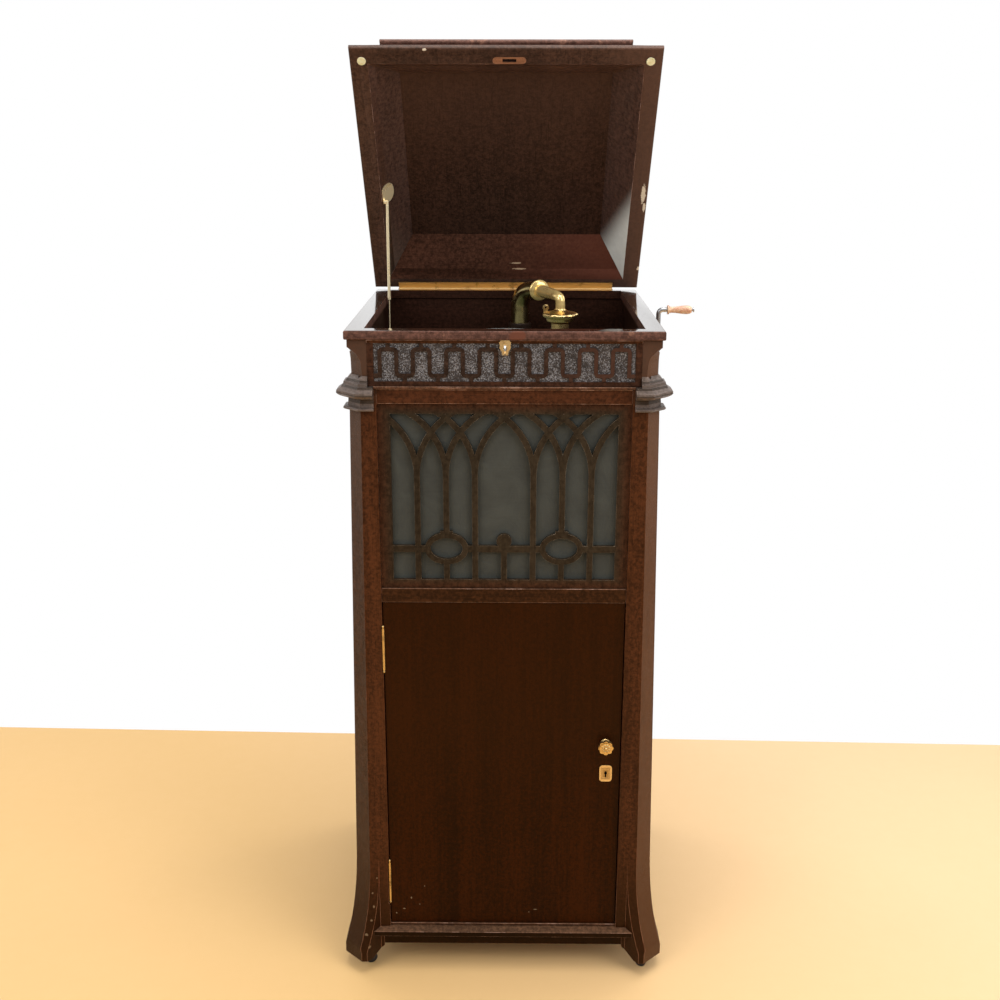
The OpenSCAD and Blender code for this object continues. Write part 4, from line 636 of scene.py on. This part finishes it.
def lid_faces(side, back, outside=0):
    """A change for dressed(): numbers of the looks for the lid's inner side slopes, its inner back
    slope, and all that faces up and out."""
    lid_up = (lid(0, 0, 1) - lid(0, 0, 0)).normalized()

    def change(bm):
        for f in bm.faces:
            x, s, h = in_lid(f.calc_center_median())
            if f.normal.dot(lid_up) > 0.1:
                f.material_index = outside
            elif abs(x) < 262 and 4 < s < 560 and 0.5 < h < 48:   # inside the lid
                f.material_index = back if s < 110 and abs(x) < 200 else side
    return change


def on_joint(e):
    """The joint between the lid's frame and its slopes, 11 mm up, which the veneer covers."""
    return all(abs(in_lid(v.co)[2] - 11) < 0.4 for v in e.verts)


dressed("lid_frame", "mahogany", frame_wood, edge_lid, 0.9, change=lid_faces(2, 3), keep=on_joint,
        others=(slope_wood, back_slope_wood))
dressed("lid_slopes", "mahogany_red", slope_wood, edge_fine, 0.3, change=lid_faces(0, 2, 3),
        keep=on_joint, others=(back_slope_wood, slope_out_wood))
dressed("lid_ceiling", "mahogany", panel_wood, panel_wood, 0.3)
dressed("lid_top_board", "mahogany_red", rim_wood, edge_soft, 0.6)
dressed("front_posts", "mahogany", post_wood, edge_post, 1.5, change=faces(2, is_cant),
        others=(cant_wood,))

paint(brass, "door_hinge_fixed", "door_hinge_moving", "door_knob", "stay_eye", "winding_wheel",
      "intermediate_wheel", "governor", "brake_lever")
paint(pale_brass, "stay_rod", "stay_bracket")
paint(gilt, "reproducer_weight")
paint(plate_brass, "lid_escutcheon", "lid_hinge_lower", "lid_hinge_upper")
paint(lock_look(), "door_lock_plate")
paint(steel, "lid_lock", "lid_bolt", "spring_barrel", "crank_arm")
paint(iron, "motor_frame", "horn_bell", *(name for name in nodes if name.startswith("caster_")))
paint(platter_steel, "turntable")
paint(japan, "neck_flange")
paint(nickel, "lid_key")
paint(copper, "lid_strike_plate")
paint(cream, "lid_bumpers")
paint(handle_look, "crank_handle")


def stretched_cloth():
    """The grille's silk on its frame: nearly flat, with the slack folds of old cloth."""
    lo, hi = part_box("grille_cloth")
    nx, nz = 96, 72
    thread = 0.0005
    half_gap = (hi.y - lo.y) / 2 - 0.0003

    def place(i, k):
        u, v = i / nx, k / nz
        calm = min(1.0, 6 * min(u, 1 - u, v, 1 - v))   # the folds die out towards the frame
        wave = (math.sin(9 * u + 3 * math.sin(5 * v)) * 0.5 + math.sin(21 * u - 4 * v) * 0.3
                + math.sin(7 * v + 2) * 0.2)
        depth = (lo.y + hi.y) / 2 + half_gap * wave * calm
        return lo.x + (hi.x - lo.x) * u, depth, lo.z + (hi.z - lo.z) * v

    def number(i, k):
        return k * (nx + 1) + i

    mesh = bpy.data.meshes.new("grille_silk")
    verts = [place(i, k) for k in range(nz + 1) for i in range(nx + 1)]
    quads = [(number(i, k), number(i + 1, k), number(i + 1, k + 1), number(i, k + 1))
             for k in range(nz) for i in range(nx)]
    mesh.from_pydata(verts, [], quads)
    for poly in mesh.polygons:
        poly.use_smooth = True
    obj = add("grille_silk", mesh, body_name("grille_cloth"), "cloth", silk)
    thick = obj.modifiers.new("thread", "SOLIDIFY")
    thick.thickness, thick.offset = thread, 0
    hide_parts("grille_cloth")


def platter_cloth():
    """The felt disc, glued flat on the platter, with a soft cut edge."""
    lo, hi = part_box("turntable_felt")
    cx, cy, outer, hole = (lo.x + hi.x) / 2, (lo.y + hi.y) / 2, (hi.x - lo.x) / 2, 0.0094
    n = 120
    # Rings from the hole out and under: radius, and height as a share of the felt's thickness
    rings = [(hole, 0.15), (hole + 0.0004, 0.85), (hole + 0.002, 0.95)]
    rings += [(hole + (outer - hole) * t, 0.97) for t in (0.15, 0.3, 0.45, 0.6, 0.75, 0.9)]
    rings += [(outer - 0.0012, 0.95), (outer - 0.0003, 0.8), (outer, 0.5), (outer - 0.0003, 0.1)]

    def place(r, lift, a):
        ripple = 0.02 + 0.02 * math.sin(5 * a + 900 * r)
        return cx + r * math.cos(a), cy + r * math.sin(a), lo.z + (hi.z - lo.z) * (lift - ripple)

    bm = bmesh.new()
    loops = [[bm.verts.new(place(r, lift, 2 * math.pi * i / n)) for i in range(n)] for r, lift in rings]
    loops.append(loops[0])
    for a, b in zip(loops, loops[1:]):
        for i in range(n):
            bm.faces.new((a[i], b[i], b[(i + 1) % n], a[(i + 1) % n]))
    bmesh.ops.recalc_face_normals(bm, faces=bm.faces)
    mesh = bpy.data.meshes.new("platter_felt")
    bm.to_mesh(mesh)
    bm.free()
    smooth(mesh, 50)
    obj = add("platter_felt", mesh, body_name("turntable_felt"), "felt", cloth_green)
    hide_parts("turntable_felt")


stretched_cloth()
platter_cloth()


def between(t, p, q, r, w):
    """A smooth curve's number at share t of the way from q to r, with p before and w after them."""
    return 0.5 * (2 * q + t * (r - p) + t * t * (2 * p - 5 * q + 4 * r - w)
                  + t ** 3 * (3 * q - p - 3 * r + w))


def smooth_path(rows, steps):
    """A smooth curve through rows of numbers, steps in each span."""
    out = []
    for i in range(len(rows) - 1):
        near = rows[max(i - 1, 0)], rows[i], rows[i + 1], rows[min(i + 2, len(rows) - 1)]
        for k in range(steps):
            out.append([between(k / steps, *column) for column in zip(*near)])
    return out + [list(rows[-1])]


def tube(bm, path, radii, wall, slot_of, n=48):
    """A closed tube wall along the path; slot_of(i) names the look of each ring of faces."""
    side = Vector((0.79, 0.6, 0.12))
    rings = []
    for inner in (0, wall):
        rows = []
        for i, p in enumerate(path):
            t = (path[min(i + 1, len(path) - 1)] - path[max(i - 1, 0)]).normalized()
            u = (side - side.dot(t) * t).normalized()
            v = t.cross(u)
            rows.append([bm.verts.new(p + (u * math.cos(a) + v * math.sin(a)) * (radii[i] - inner))
                         for a in (2 * math.pi * k / n for k in range(n))])
        rings.append(rows)
    outer, inside = rings
    loop = outer + inside[::-1] + [outer[0]]
    for i, (a, b) in enumerate(zip(loop, loop[1:])):
        for k in range(n):
            f = bm.faces.new((a[k], a[(k + 1) % n], b[(k + 1) % n], b[k]))
            f.material_index = slot_of(min(i, 2 * len(path) - 1 - i))


def lathe(bm, profile, frame_of, slot=0, n=64, wave=None):
    """A closed turned form: a profile of (radius, height) from axis to axis, or a closed ring profile.

    frame_of(a, b, h) is the point at a and b from the axis and h along it; wave(angle, r) is the
    share of the radius that is left at an angle."""
    angles = [2 * math.pi * k / n for k in range(n)]
    rows = []
    for r, h in profile:
        if r == 0:
            rows.append([bm.verts.new(frame_of(0, 0, h))])
            continue
        reach = [r * (wave(a, r) if wave else 1) for a in angles]
        rows.append([bm.verts.new(frame_of(math.cos(a) * q, math.sin(a) * q, h))
                     for a, q in zip(angles, reach)])
    is_ring = profile[0][0] > 0 and profile[-1][0] > 0
    if is_ring:
        rows.append(rows[0])
    for a, b in zip(rows, rows[1:]):
        for k in range(n):
            j = (k + 1) % n
            corners = [a[k % len(a)], a[j % len(a)], b[j % len(b)], b[k % len(b)]]
            unique = [v for i, v in enumerate(corners) if v not in corners[:i]]
            bm.faces.new(unique).material_index = slot


def done(bm, name, body, slot, looks, angle=40):
    """The finished mesh as a piece."""
    bmesh.ops.recalc_face_normals(bm, faces=bm.faces)
    mesh = bpy.data.meshes.new(name)
    bm.to_mesh(mesh)
    bm.free()
    smooth(mesh, angle)
    return add(name, mesh, body, slot, *looks)


ARM_END = 104.5, 65   # mm, the axis of the arm's end and of the sound box under it


def tone_arm():
    """Neck, elbow, collar and arm as one plated tube."""
    x, y, r = 28.6, 215, 17             # the neck's axis and radius, mm
    cx, cy, cz = 66, y - 50, 1254       # the collar's middle
    way_x, way_y = 0.33, -0.944         # the way the arm leaves the collar
    wall, steps, arm_from = 1.5, 7, 7   # mm; steps in a span; the span where the arm's look starts
    before = (cx - 12 * way_x, cy - 12 * way_y, cz)
    after = (cx + 15 * way_x, cy + 15 * way_y, cz)
    # Points of the tube's axis with its radius, from the neck to the arm's end
    rows = [(x, y, 1181, r + 1.0), (x, y, 1186, r + 1.4), (x, y, 1204, r + 1.5),
            (x + 0.8, y - 1, 1224, r + 1.4), (x + 8, y - 10, 1242.5, r + 0.8),
            (x + 19, y - 23, 1251, r - 0.4), (*before, r - 2.4), (cx, cy, cz, r - 3.4),
            (*after, r - 4.6), (85, 111, cz + 0.6, 10.8), (97, 78, cz + 0.8, 9.7),
            (103, 67, cz - 3, 9.2), (*ARM_END, cz - 13, 9.0), (*ARM_END, cz - 22, 9.4),
            (*ARM_END, cz - 24, 10.2)]
    fine = smooth_path(rows, steps)
    bm = bmesh.new()
    tube(bm, [cab(*p[:3]) for p in fine], [p[3] * MM for p in fine], wall * MM,
         lambda i: 0 if i < arm_from * steps else 1)
    foot = [cab(x, y, 1130 + 5 * i) for i in range(11)]   # straight, down through the flange
    tube(bm, foot, [(r - 0.05) * MM] * len(foot), wall * MM, lambda i: 0)
    axis = Vector((way_x, way_y, 0)).normalized()
    sideways = Vector((-way_y, way_x, 0)).normalized()

    def at_collar(a, b, h):
        return cab(cx, cy, cz) + (sideways * a + Vector(UP) * b + axis * h) * MM

    beads = [(-5, -8), (-0.2, -8), (1.2, -7), (1.8, -5.4), (1.2, -4), (0.2, -3.2), (1.4, -2.2), (3.2, -0.8),
             (3.6, 0.6), (3.2, 2), (1.6, 3.2), (0.2, 3.8), (1.0, 4.8), (0.8, 6.4), (-1.2, 7.6), (-5.2, 8)]
    lathe(bm, [(r + out, h) for out, h in beads], at_collar, 1)
    obj = done(bm, "tone_arm_tube", "horn", "gilt", (green_brass, arm_gilt), 45)
    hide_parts("horn_neck")


def hull(bm, points):
    """Adds the convex form through the points."""
    bmesh.ops.convex_hull(bm, input=[bm.verts.new(p) for p in points])


def reproducer_head():
    """The sound box: a lobed cover plate over a stepped drum, a lifting lug and two ears."""
    x, y = ARM_END
    top = 1230   # mm, the plate's top

    def here(a, b, h):
        return cab(x + a, y + b, top + h)

    def lobes(a, r):
        return 1 + 0.035 * math.cos(9 * a + 0.6) * min(1.0, (r / 34) ** 6)

    bm = bmesh.new()
    lathe(bm, [(0, -0.2), (10.6, -0.2), (11.4, -1.2), (13, -2.4), (20, -4.0), (27, -5.2), (31, -6.2),
               (33, -7.4), (33.8, -9.4), (33.4, -11.8), (31.6, -13.8), (28.4, -15.0), (27, -15.6),
               (26.2, -17), (26, -20.2), (25, -21.8), (22.4, -22.5), (21, -22.7), (0, -22.7)],
          here, 0, 144, lobes)
    for side in (-1, 1):
        ear = [(side * 9 + across, behind, low) for across in (-1.5, 1.5) for behind in (20, 26)
               for low in (-30, -22)]
        hull(bm, [here(*c) for c in ear])

    def on_lug(a, b, h):
        return here(-27.5 + a, 7 - h, 2.4 + b)

    lathe(bm, [(2.1, -1.7), (5.0, -1.7), (5.8, -1.0), (5.8, 1.0), (5.0, 1.7), (2.1, 1.7)], on_lug, 0, 40)
    lug_neck = [(-31.5, 5.3, -8), (-23.5, 5.3, -8), (-23.5, 8.7, -8), (-31.5, 8.7, -8),
                (-31.8, 5.5, -1), (-23.2, 5.5, -1), (-23.2, 8.5, -1), (-31.8, 8.5, -1)]
    hull(bm, [here(*c) for c in lug_neck])
    pin = [here(a, 23 + 1.5 * math.cos(t), -27 + 1.5 * math.sin(t))
           for a in (-10, 10) for t in (2 * math.pi * i / 20 for i in range(20))]
    hull(bm, pin)
    obj = done(bm, "reproducer_head", "horn", "gilt", (gilt,), 38)
    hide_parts("reproducer")


SCREW_R, SCREW_LIFT, SLOT_HALF = 2.4, 0.06, 0.35   # mm: the head's radius and stand, half its slot
SCREW_PITCH, SCREW_ROW = 58, 10.5                  # mm between screws, and from the hinge's axis


def screws(name, body, places):
    """Slotted countersunk heads: two half moons over a dark floor.

    Each place is (point, outward, slot's direction)."""
    bm = bmesh.new()
    for point, out, along in places:
        out, along = out.normalized(), along.normalized()
        sideways = out.cross(along)

        def head(a, b, h):
            return point + (along * a + sideways * b + out * (SCREW_LIFT + h)) * MM

        lathe(bm, [(0, -0.75), (SCREW_R, -0.75), (SCREW_R, -0.45), (0, -0.45)], head, 1, 20)
        start = math.asin(SLOT_HALF / SCREW_R)
        arc = [start + (math.pi - 2 * start) * i / 10 for i in range(11)]
        for half in (1, -1):
            moon = [(SCREW_R * math.cos(a), half * SCREW_R * math.sin(a)) for a in arc]
            hull(bm, [head(a, b, -0.5) for a, b in moon]
                 + [head(a * 0.97, b * 0.97 + half * 0.02, 0) for a, b in moon])
    done(bm, name, body, "brass", (plate_brass, dark_slot), 30)


def hinge_screws():
    """The piano hinge's screws, in both leaves, with their slots as the driver left them."""
    lid_along = (lid(0, 100, 0) - lid(0, 0, 0)).normalized()
    lid_up = (lid(0, 0, 100) - lid(0, 0, 0)).normalized()
    places = [-204 + SCREW_PITCH * i for i in range(8)]
    screws("hinge_screws_lid", "lid",
           [(lid(x, SCREW_ROW, LEAF_GAP), -lid_up, Vector((math.cos(x), 0, 0)) + lid_along * math.sin(x))
            for x in places])
    screws("hinge_screws_case", "case",
           [(cab(x + SCREW_PITCH / 2, RIM_HALF - SCREW_ROW, RIM_TOP - LEAF_GAP), Vector(UP),
             Vector((math.cos(x), math.sin(x), 0))) for x in places[:-1]])


def bore_button():
    """The turned button that closes the crank's spare bore in the left side."""
    panel_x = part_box("side_panels")[0].x + 4 * MM   # the panel is set back in its frame
    hole = Vector((panel_x, cab(0, 50, 0).y, 1070 * MM))
    bm = bmesh.new()
    lathe(bm, [(0, -3), (4.6, -3), (4.6, 0.05), (9.5, 0.05), (9.5, 0.8), (8.6, 1.7), (6.5, 2.1), (0, 2.4)],
          lambda a, b, h: hole + Vector((-h, a, b)) * MM)
    done(bm, "bore_button", "case", "mahogany", (side_wood,))


tone_arm()
reproducer_head()
hinge_screws()
bore_button()


# ---------------------------------------------------------------- stage, light and camera
def paper():
    """The floor's paper: warm and mottled, paler towards the right as painted light."""
    warm, rough = (0.87, 0.555, 0.232), 0.6
    k = Look("paper_floor")
    broad = k.noise(1.7, 3, 0.5)
    fine = k.noise(28, 6, 0.7)
    # Paler towards the right: painted light
    to_right = k.along((1, 0.5, 0))
    rise = k.node("MapRange", 0, {}, Value=to_right, From_Min=-0.5, From_Max=0.9)
    pale = tuple(min(0.93, c * f) for c, f in zip(warm, (1.07, 1.15, 1.55)))
    tint = k.mix(rise, warm, pale)
    tint = k.mix(k.span(broad, 0.0, 1.0), tint, k.mix(1.0, tint, (0.94, 0.93, 0.90), "MULTIPLY"))
    tint = k.mix(k.span(fine, 0.0, 0.12), tint, tuple(c * 0.8 for c in warm))
    return k.out(tint, k.span(fine, rough - 0.1, rough + 0.1))


# The photograph's camera: where it stood, its turn, and its lens in pixels of a 1000 px wide picture
PICTURE, SENSOR = 1000, 36.0     # px, mm
FOCAL = 1272.1                   # px
MIDDLE_X, MIDDLE_Y = 500, 530    # px, where the camera looks; the picture's middle is raised
eye = cab(11.387, -2382.239, 1569.828)
yaw, pitch, roll = math.radians(-0.499), math.radians(17.751), math.radians(0.102)
ahead = Vector((math.sin(yaw) * math.cos(pitch), math.cos(yaw) * math.cos(pitch), -math.sin(pitch)))
level = Vector((math.cos(yaw), -math.sin(yaw), 0))
upright = level.cross(ahead)
across = level * math.cos(roll) + upright * math.sin(roll)
above = upright * math.cos(roll) - level * math.sin(roll)


def stand_camera():
    data = bpy.data.cameras.new("camera")
    data.sensor_width = SENSOR
    data.lens = round(FOCAL * SENSOR / PICTURE, 2)
    data.shift_y = (MIDDLE_Y - PICTURE / 2) / PICTURE
    data.clip_start, data.clip_end = 0.05, 60
    camera = bpy.data.objects.new("camera", data)
    camera.matrix_world = Matrix((
        (across.x, above.x, -ahead.x, eye.x), (across.y, above.y, -ahead.y, eye.y),
        (across.z, above.z, -ahead.z, eye.z), (0, 0, 0, 1)))
    bpy.context.scene.collection.objects.link(camera)
    bpy.context.scene.camera = camera


def on_floor(px, py):
    """Where a pixel of the photograph meets the floor."""
    ray = ahead + across * ((px - MIDDLE_X) / FOCAL) - above * ((py - MIDDLE_Y) / FOCAL)
    return eye + ray * (-eye.z / ray.z)


FAR_LEFT, FAR_RIGHT = (0, 727), (PICTURE, 745)   # px, where the paper's far edge leaves the picture
FLOOR_HALF, FLOOR_FRONT = 3.2, -3.6              # m


def floor():
    """A pale sheet whose far edge runs as the photograph's does, with white behind it."""
    left, right = on_floor(*FAR_LEFT), on_floor(*FAR_RIGHT)
    slope = (right.y - left.y) / (right.x - left.x)
    corners = [(-FLOOR_HALF, FLOOR_FRONT, 0), (FLOOR_HALF, FLOOR_FRONT, 0)]
    corners += [(x, left.y + slope * (x - left.x), 0) for x in (FLOOR_HALF, -FLOOR_HALF)]
    mesh = bpy.data.meshes.new("floor")
    mesh.from_pydata(corners, [], [(0, 1, 2, 3)])
    mesh.materials.append(paper())
    obj = bpy.data.objects.new("floor", mesh)
    bpy.context.scene.collection.objects.link(obj)


def studio():
    """White to the camera and a dim fill on the object; polish mirrors it darker towards the front."""
    world = bpy.data.worlds.new("studio")
    bpy.context.scene.world = world
    world.use_nodes = True
    g = Graph(world.node_tree)
    background = world.node_tree.nodes["Background"]
    background.inputs["Color"].default_value = (1, 1, 1, 1)
    ray = g.new("LightPath").outputs
    direction = g.new("SeparateXYZ")
    g.put(direction.inputs[0], g.new("TexCoord").outputs["Generated"])
    mirrored = g.node("MapRange", 0, {"interpolation_type": "SMOOTHSTEP"}, Value=direction.outputs["Y"],
                      From_Min=-0.35, From_Max=0.35, To_Min=0.22, To_Max=1.0)
    polished = g.calc("MAXIMUM", ray["Is Glossy Ray"], ray["Is Transmission Ray"])
    on_object = g.node("Mix", 0, {}, i0=polished, i2=0.62, i3=mirrored)
    strength = g.node("Mix", 0, {}, i0=ray["Is Camera Ray"], i2=on_object, i3=1.0)
    g.put(background.inputs["Strength"], strength)


def lamp(name, place, aim, power, size):
    """A rectangular soft box at a place, turned to its aim; metres and watts."""
    data = bpy.data.lights.new(name, "AREA")
    data.energy, data.shape = power, "RECTANGLE"
    data.size, data.size_y = size
    obj = bpy.data.objects.new(name, data)
    obj.location = place
    obj.rotation_mode = "QUATERNION"
    obj.rotation_quaternion = (Vector(aim) - Vector(place)).to_track_quat("-Z", "Y")
    bpy.context.scene.collection.objects.link(obj)


stand_camera()
floor()
studio()
lamp("left", (-1.9, -2.3, 2.7), (0, 0, 0.9), 28, (1.6, 1.6))
lamp("right", (2.1, -2.0, 2.5), (0.1, 0, 0.9), 34, (1.6, 1.8))
lamp("top", (0.3, -0.3, 3.3), (0.1, -0.3, 0), 66, (2.6, 2.0))
lamp("back_left", (-2.1, 1.5, 2.0), (0, 0, 1.1), 7, (0.8, 1.4))
lamp("back_right", (2.1, 1.5, 2.0), (0, 0, 1.1), 7, (0.8, 1.4))
